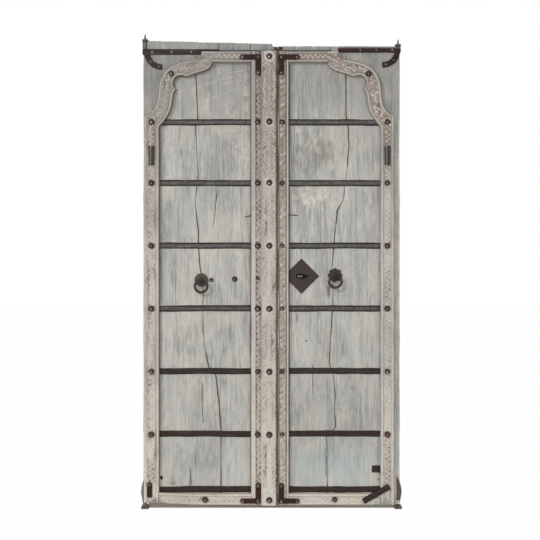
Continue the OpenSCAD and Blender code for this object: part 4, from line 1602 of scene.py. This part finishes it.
# marks on the boards: kind, place across, height, half sizes and strength; each has its own noise
# the void patches paint shadow into holes, the lock's slot and small gaps
PATCHES: dict[Side, list[Patch]] = {
    Side.LEFT: [
        Patch(*row)
        for row in (
            ("cream", 385, 1780, 16, 150, 0.9), ("stain", 206, 1835, 15, 60, 0.42),
            ("cream", 350, 1560, 50, 90, 0.5), ("stain", 205, 940, 22, 60, 0.5), ("cream", 300, 1120, 90, 40, 0.35),
            ("cream", 388, 1560, 18, 110, 0.9), ("teal", 120, 250, 60, 120, 0.35),
            ("hollow", 140, 185, 240, 140, 0.31), ("hollow", 225, 215, 55, 75, 0.22),
            ("stain", 137, 110, 8, 42, 0.8), ("stain", 56, 110, 8, 30, 0.5), ("stain", 272, 120, 9, 60, 0.5),
            ("stain", 190, 450, 8, 100, 0.5), ("stain", 262, 450, 9, 90, 0.4), ("cream", 20, 120, 26, 60, 0.7),
            ("hollow", 100, 720, 120, 120, 0.32), ("void", 9, 117, 8, 13, 0.75), ("stain", 62, 92, 34, 13, 0.7),
            ("scrape", 332, 992, 18, 18, 0.8), ("scrape", 229, 988, 15, 15, 0.7),
        )
    ],
    Side.RIGHT: [
        Patch(*row)
        for row in (
            ("cream", 290, 1352, 115, 58, 1.2), ("cream", 150, 1350, 60, 40, 0.85),
            ("hollow", 280, 1550, 190, 150, 0.40), ("cream", 278, 1616, 28, 16, 1.0),
            ("cream", 365, 1640, 30, 20, 0.8), ("cream", 200, 1482, 60, 35, 0.7), ("stain", 348, 440, 11, 50, 0.4),
            ("cream", 350, 720, 60, 90, 0.6), ("cream", 375, 520, 30, 70, 0.6), ("stain", 245, 1565, 36, 80, 0.5),
            ("stain", 205, 1875, 40, 50, 0.36), ("cream", 300, 1590, 40, 30, 0.8),
            ("teal", 205, 165, 215, 110, 1.0), ("teal", 330, 700, 40, 40, 0.4), ("stain", 367, 836, 5, 42, 1.1),
            ("stain", 366, 889, 5, 20, 0.8), ("stain", 226, 930, 9, 36, 0.5), ("hollow", 227, 934, 12, 42, 0.55),
            ("void", 344, 1003, 48, 26, 2.5), ("void", 9.5, 109, 6, 7, 1.2), ("scrape", 24, 112, 22, 24, 1.0),
            ("void", 3, 147, 4, 17, 1.2), ("stain", 60, 480, 16, 140, 0.4), ("teal", 388, 526, 14, 8, 0.9),
            ("hollow", 326, 719, 6, 5, 0.8), ("hollow", 345, 416, 5, 5, 0.7), ("hollow", 92, 1340, 7, 60, 0.22),
            ("hollow", 190, 1280, 9, 34, 0.4), ("hollow", 196, 1236, 9, 30, 0.3), ("stain", 168, 1361, 13, 15, 0.5),
            ("stain", 163, 1312, 9, 14, 0.65), ("stain", 82, 921, 5, 15, 1.2), ("cream", 215, 1330, 50, 35, 0.9),
            ("hollow", 287, 819, 9, 4, 0.6), ("hollow", 179, 653, 46, 52, 0.28), ("cream", -78, 900, 34, 760, 0.55),
        )
    ],
}

# pale scrapes across the boards, from end to end
SCRAPES: dict[Side, list[tuple[Point, Point]]] = {
    Side.LEFT: [
        ((106, 1824), (381, 1872)), ((177, 1773), (358, 1836)), ((193, 1611), (259, 1643)), ((300, 1900), (381, 1915)),
        ((259, 1643), (330, 1650)), ((350, 1180), (398, 1205)), ((76, 1814), (362, 1896)), ((337, 1759), (370, 1747)),
    ],
    Side.RIGHT: [((120, 1395), (250, 1412)), ((90, 1300), (180, 1322)), ((300, 1180), (390, 1214))],
}


@dataclass(frozen=True)
class FrameShade:
    """Painted shade beside the frame: at its outer, inner and arched edges, beyond it and in the corner."""

    outer: float
    inner: float
    arch: float
    beyond: float
    corner: float


# painted shade beside each leaf's frame, deeper on the side away from the key light
FRAME_SHADES: dict[Side, FrameShade] = {
    Side.LEFT: FrameShade(0.78, 0.65, 0.85, 0.0, 0.33),
    Side.RIGHT: FrameShade(0.25, 0.95, 0.35, 0.42, 0.27),
}
# height of the notch for the top pivot's root
NOTCH_Z = 1983.0


@dataclass
class LeafBoards:
    """The two weathered boards of a leaf, parted by a wandering split."""

    side: Side
    finish: Material
    row_pitch: float = 4.0
    column_pitch: float = 2.3
    gap: float = 0.5
    top_lift: Point = (4.0, 1.5)

    def split(self, z: Array) -> Array:
        """Place of the split at each height."""
        line = np.array(SPLITS[self.side])[::-1]
        return np.interp(z, line[:, 1], line[:, 0]) + 1.2 * rough(z / 45, z * 0, 7 + self.side.index, 3)

    def top(self, u: Array) -> Array:
        """Height of the boards' top edge."""
        first, last = SIZES.board_top[self.side.index]
        low, high = SIZES.u_out(self.side), SIZES.u_end(self.side)
        broken = 12.0 * step(u, 494.0, 502.0)
        return first + (last - first) * (u - low) / (high - low) - broken + self.top_lift[self.side.index]

    def _frame_shade(self, u: Array, z: Array, seed: int) -> Array:
        """Painted shade along the frame's edges and in the corner outside the arch.

        Args:
            u: places across.
            z: heights.
            seed: picks the grain.

        Returns:
            The share of painted shade.
        """
        k, arch = FRAME_SHADES[self.side], ArchEdges(self.side)
        outer = k.outer * bell(u - 1.5, 2.8) * (z < SIZES.foot_z + 5)
        rim = np.maximum(outer, k.inner * bell(u - SIZES.panel_w + 2.0, 3.4))
        rim = rim * (z > SIZES.rail_h) * (z < SIZES.frame_h - SIZES.rail_h)
        contour = arch.inner()
        near = (z > SIZES.foot_z - 20) & (u > -20) & (u < SIZES.arch_reach + 20)
        away = np.hypot(u[near][:, None] - contour[:, 0], z[near][:, None] - contour[:, 1]).min(axis=1)
        rim[near] = np.maximum(rim[near], k.arch * bell(away, 3.4))
        beyond = k.beyond * bell(u + SIZES.stile_w[self.side.index] + 2.0, 3.4) * (z < SIZES.foot_z)
        edge = arch.outer()[::-1]
        corner = (z > SIZES.foot_z + 60) & (z < SIZES.frame_h) & (u < np.interp(z, edge[:, 1], edge[:, 0]))
        # painted shade over the corner outside the arch
        dirt = corner * (k.corner + 0.06 * rough(u / 20, z / 50, seed + 53, 2))
        return np.max([rim, beyond, dirt], axis=0)

    def _relief(self, u: Array, z: Array, seed: int) -> tuple[Array, dict[str, Array]]:
        """Grain, cracks, stains, painted shade and painted shadows of the boards' face.

        Args:
            u: places across.
            z: heights.
            seed: picks the grain.

        Returns:
            The relief and the marks for the finish.
        """
        h = 0.9 * rough(u / 60, z / 420, seed, 2) + 0.55 * rough(u / 7, z / 170, seed + 1, 3)
        hollow = np.clip(rough(u / 5, z / 190, seed + 2, 2) - 0.55, 0, 1) * 0.8
        for line in CRACKS[self.side]:
            points = np.array(sorted(line, key=lambda p: p[1]), float)
            at = np.interp(z, points[:, 1], points[:, 0]) + 1.5 * rough(z / 40, z * 0 + 3, seed + 6, 2)
            low, high = points[0, 1], points[-1, 1]
            cut = bell(u - at, 1.8) * step(z, low - 12, low + 12) * (1 - step(z, high - 12, high + 12))
            h = h - 4.0 * cut
            # dirt and painted shade in the hairline cracks
            hollow = np.maximum(hollow, 0.8 * cut)
        end, top = SIZES.u_end(self.side), SIZES.frame_h + 6.0
        # painted shadow: a dark line along the groove above the top rail, and dark on the broken top by the meeting
        # edge
        seam = bell(z - top, 3.6) * step(u, 200.0, 230.0)
        lump = step(z, top, top + 6) * step(u, end - 24, end - 16)
        lumpy = lump * (0.6 + 0.6 * rough(u / 9, z / 7, seed + 51, 2))
        marks = {
            "hollow": np.max([hollow, self._frame_shade(u, z, seed), 0.9 * lump], axis=0),
            "cream": 0.42 * np.clip(rough(u / 45, z / 130, seed + 61, 3) * 1.3, 0, 1),
            "teal": np.zeros_like(u),
            "stain": 0.2 * np.clip(rough(u / 34, z / 110, seed + 62, 3) * 1.3, 0, 1),
            "scrape": np.zeros_like(u),
            "void": 0.62 * np.maximum(seam, lumpy),
        }
        for k, patch in enumerate(PATCHES[self.side]):
            broken = rough(u / 16, z / 34, seed + 30 + k, 4)
            share = step(1.25 - patch.distance(u, z) + 0.6 * broken, 0.0, 1.25)
            deepen(marks, patch.mark, patch.strength * share)
        for (u_0, z_0), (u_1, z_1) in SCRAPES[self.side]:
            run = np.clip((u - u_0) / (u_1 - u_0), 0, 1)
            off = np.hypot(u - u_0 - run * (u_1 - u_0), z - z_0 - run * (z_1 - z_0))
            deepen(marks, "scrape", bell(off, 2.8) * np.clip(0.8 + 0.9 * rough(u / 16, z / 16, seed + 44, 3), 0, 1))
        for row in (*SIZES.rows, SIZES.strap_low):
            below = row - SIZES.strap_w / 2 - z
            drip = step(below, -4, 2) * np.exp(-np.maximum(below, 0) / 22)
            deepen(marks, "stain", 0.4 * drip * np.clip(rough(u / 10, z * 0 + row, seed + 8, 2), 0, 1))
            beside = np.abs(z - row) - SIZES.strap_w / 2
            deepen(marks, "scrape", 0.55 * np.exp(-np.maximum(beside, 0) / 4))
        return h - 3.0 * seam, marks

    def _board(self, name: str, outer: bool) -> Piece:
        """Makes one board.

        Args:
            name: the piece's name.
            outer: the board on the pivot's side.

        Returns:
            The new object.
        """
        side = self.side
        reference = SIZES.board_top[side.index][0]
        heights = np.linspace(0, reference, int(reference / self.row_pitch) + 1)
        if outer:
            heights = np.unique(np.concatenate([heights, [NOTCH_Z - 1, NOTCH_Z]]))
        split = self.split(heights)
        below_rail = 1 - step(heights, SIZES.frame_h - 70, SIZES.frame_h - 50)
        gap = self.gap * np.clip(1.1 + 1.8 * rough(heights / 90, heights * 0 + 9, 71 + side.index, 2), 0.75, 3.0)
        gap = np.maximum(gap * below_rail, 0.06)
        if outer:
            first = SIZES.u_out(side) + SIZES.notch_w * (heights >= NOTCH_Z) + wander(heights, 61, 0.8)
            last = split - gap
        else:
            first = split + gap
            last = SIZES.u_end(side) + wander(heights, 62, 0.5)
        columns = int((last - first).mean() / self.column_pitch)
        t = np.linspace(0, 1, columns)[None, :]
        u = first[:, None] * (1 - t) + last[:, None] * t
        heights = heights[:, None]
        ragged = 1.2 * rough(u / 20, u * 0, 81, 3) * (heights == reference)
        z = heights / reference * (self.top(u) + ragged)
        z = z + foot_wear(side, u, z)
        d, marks = self._relief(u, z, 100 + 50 * side.index + 20 * outer)
        near = np.abs(u - split[:, None])
        open_share = (np.clip(gap / self.gap, 0.4, 1.2) * below_rail)[:, None]
        d = d - 1.6 * open_share * np.exp(-near / 2.0)
        # painted shade along the split
        deepen(marks, "hollow", 0.8 * open_share * bell(near, 2.5))
        marks["hollow"] = np.clip(marks["hollow"], 0, 1)
        brown = np.exp(-near / 6) * np.clip(0.45 + rough(z / 70, u / 20, 77, 3), 0, 1)
        deepen(marks, "stain", brown * below_rail[:, None])
        back = -SIZES.board_t
        plain, closing = [(0.0, back)], [(0.25 - gap, back / 2), (0.25 - gap, back)]
        edges = (plain, closing) if outer else (closing, plain)
        return Ribbon(name, side, u, z, d, *edges, marks).build(self.finish)

    def build(self) -> None:
        """Makes both boards and lets them ride on the leaf."""
        for outer in (True, False):
            node = f"{self.side.value}_{'outer' if outer else 'inner'}_board"
            settle(self._board(f"{node}_weathered", outer), self.side.body, "weathered_board", [node])


# ---------------------------------------------------------------- irons


@dataclass
class CrossStraps:
    """Hand-forged straps across the boards of a leaf."""

    side: Side
    finish: Material
    pitch: float = 4.0
    columns: int = 14
    end_in: float = 6.0

    def _bar(self, k: int, row: float) -> Piece:
        """Makes one strap.

        Args:
            k: its number, from the foot up.
            row: its height.

        Returns:
            The new object.
        """
        z, side = SIZES, self.side
        seed = 300 + 20 * side.index + k
        along = level_edge(row, self.end_in - z.stile_w[side.index], z.u_meet - self.end_in, self.pitch)[:, :1]
        t = np.linspace(0, 1, self.columns)[None, :]
        u = along + 0 * t
        bow = 1.6 * rough(along / 160, along * 0 + k, seed, 2)
        width = 1.0 + 0.05 * rough(along / 45, along * 0 + k, seed + 1, 3)
        across = (t - 0.5) * z.strap_w * width
        h = 0.5 * rough(u / 14, across / 9, seed + 2, 2) + 0.25 * rough(u / 40, across / 30, seed + 3, 2)
        h = h - 3.2 * np.clip((np.abs(t - 0.5) - 0.34) / 0.16, 0, 1) ** 2
        edge = [(0.0, 0.0)]
        return Ribbon(f"bar_{k}", side, u, row - across + bow, z.iron_t + h, edge, edge).build(self.finish)

    def build(self) -> None:
        """Makes the straps as one piece, with a painted sheen along their middles."""
        lines = (SIZES.strap_low, *SIZES.rows)
        node = f"{self.side.value}_cross_straps"
        piece = joined([self._bar(k, row) for k, row in enumerate(lines)], f"{node}_forged")
        p = vectors(piece.data) / MM
        off = np.min(np.abs(p[:, 2:] - np.array(lines) - SIZES.lift), axis=1)
        # painted sheen along each strap's middle, stronger on the upper straps
        painted_sheen = 0.11 + 0.21 * step(p[:, 2], 500.0, 1000.0)
        painted_sheen = painted_sheen * (0.95 + 0.22 * rough(p[:, 0] / 9, p[:, 2] / 6, 333, 3))
        set_mark(piece.data, "crest", painted_sheen * (1 - step(off, 5.5, 11.0)))
        settle(piece, self.side.body, "forged_iron", [node])


def joined(pieces: list[Piece], name: str) -> Piece:
    """Joins pieces that share one material into one mesh.

    Args:
        pieces: the pieces, which are removed.
        name: the new piece's name.

    Returns:
        The joined piece.
    """
    work = bmesh.new()
    material = pieces[0].data.materials[0]
    for piece in pieces:
        work.from_mesh(piece.data)
        bpy.data.objects.remove(piece)
    mesh = bpy.data.meshes.new(name)
    work.to_mesh(mesh)
    work.free()
    mesh.materials.append(material)
    return linked(name, mesh)


@dataclass
class ForgedPiece:
    """A CAD iron, copied and worked over so that its edges are rounded and its faces hammered."""

    node: str
    body: str
    slot: str
    finish: Material
    voxel: float = 1.5
    dents: float = 0.45
    seed: int = 0
    thicken: float = 1.0
    swell: float = 0.0
    crown: float = 0.0
    painted_sheen: float = 0.0
    ends: Sequence[Row] = ()
    pointed: bool = False
    pale_block: float = 0.0
    glints: Sequence[tuple[float, float, float]] = ()

    def _crown(self, co: Array) -> tuple[Array, Array]:
        """Rounds the front of a bar and finds the ridge where a highlight is painted.

        Args:
            co: the bar's points, in metres.

        Returns:
            The points and the share of painted highlight on each.
        """
        flat = co[:, (0, 2)] - co[:, (0, 2)].mean(axis=0)
        across = np.linalg.svd(flat, full_matrices=False)[2][1]
        off = flat @ across
        half = np.abs(off).max()
        front = co[:, 1] < co[:, 1].mean()
        co[:, 1] -= self.crown * MM * front * (1 - (off / half) ** 2)
        return co, self.painted_sheen * front * bell(off * np.sign(across[1]) / half - 0.25, 0.3)

    def _rounded(self, co: Array) -> Array:
        """Rounds the ends of straight arms, each given by u, z and its way along them."""
        side = Side.LEFT if self.body == Side.LEFT.body else Side.RIGHT
        half = ARM_HALF * MM
        for u, z, way_u, way_z in self.ends:
            centre = SIZES.place(side, u, 0.0, z)[0]
            way = np.array([way_u if side is Side.LEFT else -way_u, 0.0, way_z])
            side_way = np.array([way[2], 0.0, -way[0]])
            along, off = (co - centre) @ way, (co - centre) @ side_way
            reach = half - np.abs(off) if self.pointed else np.sqrt(np.maximum(half**2 - off**2, 0))
            beyond = (along > reach) & (np.abs(off) < 1.3 * half) & (along < 2 * half)
            co = co - (beyond * (along - reach))[:, None] * way
        return co

    def _evened(self) -> Piece:
        """Copies the CAD node, remeshes it evenly and softens its edges."""
        mesh = frame["nodes"][self.node].data.copy()
        mesh.materials.clear()
        work = bmesh.new()
        work.from_mesh(mesh)
        bmesh.ops.remove_doubles(work, verts=work.verts, dist=1e-6)
        work.to_mesh(mesh)
        work.free()
        piece = linked(f"{self.node}_forged", mesh)
        remesh = piece.modifiers.new("even", "REMESH")
        remesh.mode = "VOXEL"
        remesh.voxel_size = self.voxel * MM
        soften = piece.modifiers.new("soften", "SMOOTH")
        soften.iterations = 3
        soften.factor = 0.5
        plain_mesh(piece)
        return piece

    def build(self) -> None:
        """Works over the copy: dents, swelling, rounded ends, pale paint and painted highlights."""
        piece = self._evened()
        mesh = piece.data
        co, normal = vectors(mesh), vectors(mesh, "normal")
        p = co / MM
        foot, top = SIZES.lift, SIZES.lift + SIZES.frame_h
        dent = rough((p[:, 0] + p[:, 1]) / 13, (p[:, 2] - p[:, 1]) / 13, self.seed, 3)
        co = co + normal * (dent * self.dents * MM)[:, None]
        flat = self.swell * (1 - step(p[:, 2], top + 17, top + 21))
        co = co + normal * np.array([1.0, 0.0, 1.0]) * (flat * MM)[:, None]
        middle = (SIZES.face_y + SIZES.board_t / 2) * MM
        grow = 1 + (self.thicken - 1) * step(p[:, 2], foot + 4, foot + 22)
        co[:, 1] = middle + (co[:, 1] - middle) * grow
        co = self._rounded(co)
        if self.crown:
            co, shine = self._crown(co)
            set_mark(mesh, "crest", shine)
        if self.pale_block:
            up = p[:, 2] - top
            set_mark(mesh, "crest", self.pale_block * step(up, 12.0, 18.0) * (1 - step(up, 46.0, 54.0)))
        # painted highlights on small spots of the piece
        if self.glints:
            spots = [(SIZES.place(Side.RIGHT, u, 0.0, z)[0], r * MM) for u, z, r in self.glints]
            shine = [bell(np.hypot(co[:, 0] - at[0], co[:, 2] - at[2]), r) for at, r in spots]
            set_mark(mesh, "crest", np.max(shine, axis=0))
        mesh.vertices.foreach_set("co", co.astype(np.float32).ravel())
        mesh.update()
        smooth(mesh, NO_CREASE)
        mesh.materials.clear()
        mesh.materials.append(self.finish)
        settle(piece, self.body, self.slot, [self.node])


@dataclass
class LeafIrons:
    """Pivots, corner irons, plates, rings and lock of both leaves."""

    finishes: Finishes

    def _workings(self, side: Side) -> dict[str, dict[str, object]]:
        """How a leaf's irons are worked over, by the ends of their nodes' names.

        Args:
            side: the leaf.

        Returns:
            Values of ForgedPiece for each iron.
        """
        f = self.finishes
        foot = ({"finish": f.pale, "swell": 2.5}, {"finish": f.worn})[side.index]
        return {
            "top_corner_iron": {"finish": f.rusty, "ends": arm_ends(True)},
            "bottom_corner_iron": {"finish": f.rusty, "ends": arm_ends(False)},
            "foot_iron": {"finish": f.rusty, "ends": [(-41.0, 93.0, 0.0, 1.0)], "pointed": True},
            # the foot bar and the stile plates get a painted highlight along a ridge
            "foot_bar": {"finish": f.iron, "crown": 7.0, "painted_sheen": 0.15},
            "top_pivot": {"finish": (f.iron, f.rusty)[side.index], "swell": 1.8, "pale_block": 0.38},
            "bottom_pivot": {"thicken": 2.8, **foot},
            "stile_plate": {"finish": f.lock, "crown": 1.2, "painted_sheen": 0.42},
            "patch": {"finish": f.iron},
        }

    def build(self) -> None:
        """Works over every iron node."""
        f, slot = self.finishes, "forged_iron"
        for side in Side:
            for k, (part, values) in enumerate(self._workings(side).items()):
                node = f"{side.value}_{part}"
                if node in frame["nodes"]:
                    ForgedPiece(node, side.body, slot, seed=400 + k, **values).build()
            plate = (f.plate, f.lock)[side.index]
            ForgedPiece(f"{side.value}_ring_plate", side.body, slot, plate, voxel=1.2, dents=0.3, seed=450).build()
            ForgedPiece(f"{side.value}_ring_eye", side.body, slot, f.ring, voxel=0.9, dents=0.3, seed=450).build()
            ring = f"{side.value}_ring"
            ForgedPiece(ring, ring, "ring_iron", f.ring, voxel=1.1, dents=0.35, seed=460).build()
        ForgedPiece("lock_plate", Side.RIGHT.body, slot, f.lock, voxel=1.4, dents=0.35, seed=470).build()
        # painted highlights on the staple's legs
        glints = [(360.0, 1003.0, 4.5), (348.0, 1003.0, 4.5)]
        staple = ForgedPiece("lock_staple", Side.RIGHT.body, slot, f.ring, voxel=1.0, dents=0.2, seed=471)
        staple.glints = glints
        staple.build()


# ---------------------------------------------------------------- carried-over nodes


@dataclass
class CarriedNodes:
    """CAD nodes that keep their shape and get a finish."""

    finishes: Finishes

    def dress(self) -> None:
        """Gives the frame, the ledges and the pivots' seats their materials."""
        f = self.finishes
        plan = {
            f.upright: ("left_jamb", "right_jamb"),
            f.level: ("lintel", "sill", "frame_pegs", "left_ledges", "right_ledges"),
            f.worn: ("left_lintel_eye", "right_lintel_eye", "left_floor_cup", "right_floor_cup"),
        }
        for material, names in plan.items():
            for name in names:
                node = frame["nodes"][name]
                node.data.materials.clear()
                node.data.materials.append(material)
                LOG.info("%s keeps its CAD shape", name)


# ---------------------------------------------------------------- stage


@dataclass
class Studio:
    """Camera at the photograph's place, pale floor and soft light from the upper left."""

    camera_at: tuple[float, float, float] = (-0.007, -6.0, 1.054)
    lens: float = 89.7
    key_power: float = 108.0
    fill_power: float = 36.0
    front_power: float = 28.0
    sky: float = 0.455
    floor_half: float = 30.0
    floor_white: float = 0.985

    def build(self) -> None:
        """Makes camera, floor, lights and world."""
        scene = bpy.context.scene
        scene.view_settings.view_transform = "Standard"
        data = bpy.data.cameras.new("camera")
        data.lens = self.lens
        data.sensor_width = 36.0
        camera = linked("camera", data)
        camera.location = self.camera_at
        camera.rotation_euler = (math.pi / 2, 0.0, 0.0)
        scene.camera = camera
        self._floor()
        self._lamp("key", (-3.1, -3.9, 3.5), (0.0, 0.0, 1.1), 0.8, self.key_power)
        self._lamp("fill", (3.2, -4.5, 2.0), (0.0, 0.0, 1.0), 2.5, self.fill_power)
        self._lamp("front", (-0.3, -5.4, 0.3), (0.0, 0.0, 0.9), 0.35, self.front_power)
        self._lamp("back", (0.5, 4.5, 3.0), (0.0, 0.0, 1.0), 2.5, self.fill_power)
        self._world()

    def _lamp(self, name: str, at: Sequence[float], to: Sequence[float], size: float, power: float) -> None:
        """Adds one soft square lamp.

        Args:
            name: its name.
            at: its place.
            to: the point it faces.
            size: its side.
            power: its watts.
        """
        data = bpy.data.lights.new(name, "AREA")
        data.size = size
        data.energy = power
        lamp = linked(name, data)
        lamp.location = at
        lamp.rotation_euler = (Vector(to) - Vector(at)).to_track_quat("-Z", "Y").to_euler()

    def _floor(self) -> None:
        """Adds the pale floor, white to the camera where no shadow falls."""
        half = self.floor_half
        mesh = bpy.data.meshes.new("floor")
        mesh.from_pydata([(-half, -half, 0), (half, -half, 0), (half, half, 0), (-half, half, 0)], [], [(0, 1, 2, 3)])
        floor = linked("floor", mesh)
        material = bpy.data.materials.new("pale_floor")
        material.use_nodes = True
        material.node_tree.nodes.clear()
        build = Builder(material.node_tree)
        matt = build.node("ShaderNodeBsdfDiffuse", Color=(0.9, 0.9, 0.9, 1))
        share = build.sums("MULTIPLY", seen_rays(build), self.floor_white)
        mixed(build, "ShaderNodeOutputMaterial", share, matt, build.node("ShaderNodeEmission"))
        mesh.materials.append(material)

    def _world(self) -> None:
        """White to the camera and in reflections, a plain soft sky for the light."""
        world = bpy.data.worlds.new("studio")
        bpy.context.scene.world = world
        world.use_nodes = True
        world.node_tree.nodes.clear()
        build = Builder(world.node_tree)
        sky, white = (
            build.node("ShaderNodeBackground", Color=(1, 1, 1, 1), Strength=strength) for strength in (self.sky, 1.0)
        )
        mixed(build, "ShaderNodeOutputWorld", seen_rays(build), sky, white)


def mixed(build: Builder, out: str, share: Socket, first: bpy.types.Node, second: bpy.types.Node) -> None:
    """Ends a tree with a mix of two surfaces.

    Args:
        build: the tree's builder.
        out: type of the output node.
        share: how much of the second surface shows.
        first: node of the first surface.
        second: node of the second surface.
    """
    mix = build.node("ShaderNodeMixShader")
    for target, value in zip(mix.inputs, (share, first.outputs[0], second.outputs[0]), strict=True):
        build.feed(target, value)
    build.node(out, Surface=mix.outputs[0])


def seen_rays(build: Builder) -> Socket:
    """1 for rays from the camera, reflections and through glass.

    Args:
        build: the tree's builder.

    Returns:
        The largest of the three.
    """
    path = build.node("ShaderNodeLightPath")
    total = path.outputs["Is Camera Ray"]
    for name in ("Is Glossy Ray", "Is Transmission Ray"):
        total = build.sums("MAXIMUM", total, path.outputs[name])
    return total


# ---------------------------------------------------------------- all together


def main() -> None:
    """Builds every sub-assembly in order."""
    logging.basicConfig(level=logging.INFO, format="%(name)s: %(message)s", stream=sys.stdout)
    Studio().build()
    finishes = Finishes()
    CarriedNodes(finishes).dress()
    for side in Side:
        LeafBoards(side, finishes.board).build()
        LeafFrame(side, finishes.carved).build()
        CrossStraps(side, finishes.iron).build()
        StudSet(side, finishes.stud, finishes.worn).build()
    CentrePost(finishes.carved).build()
    LeafIrons(finishes).build()


if __name__ == "__main__":
    main()
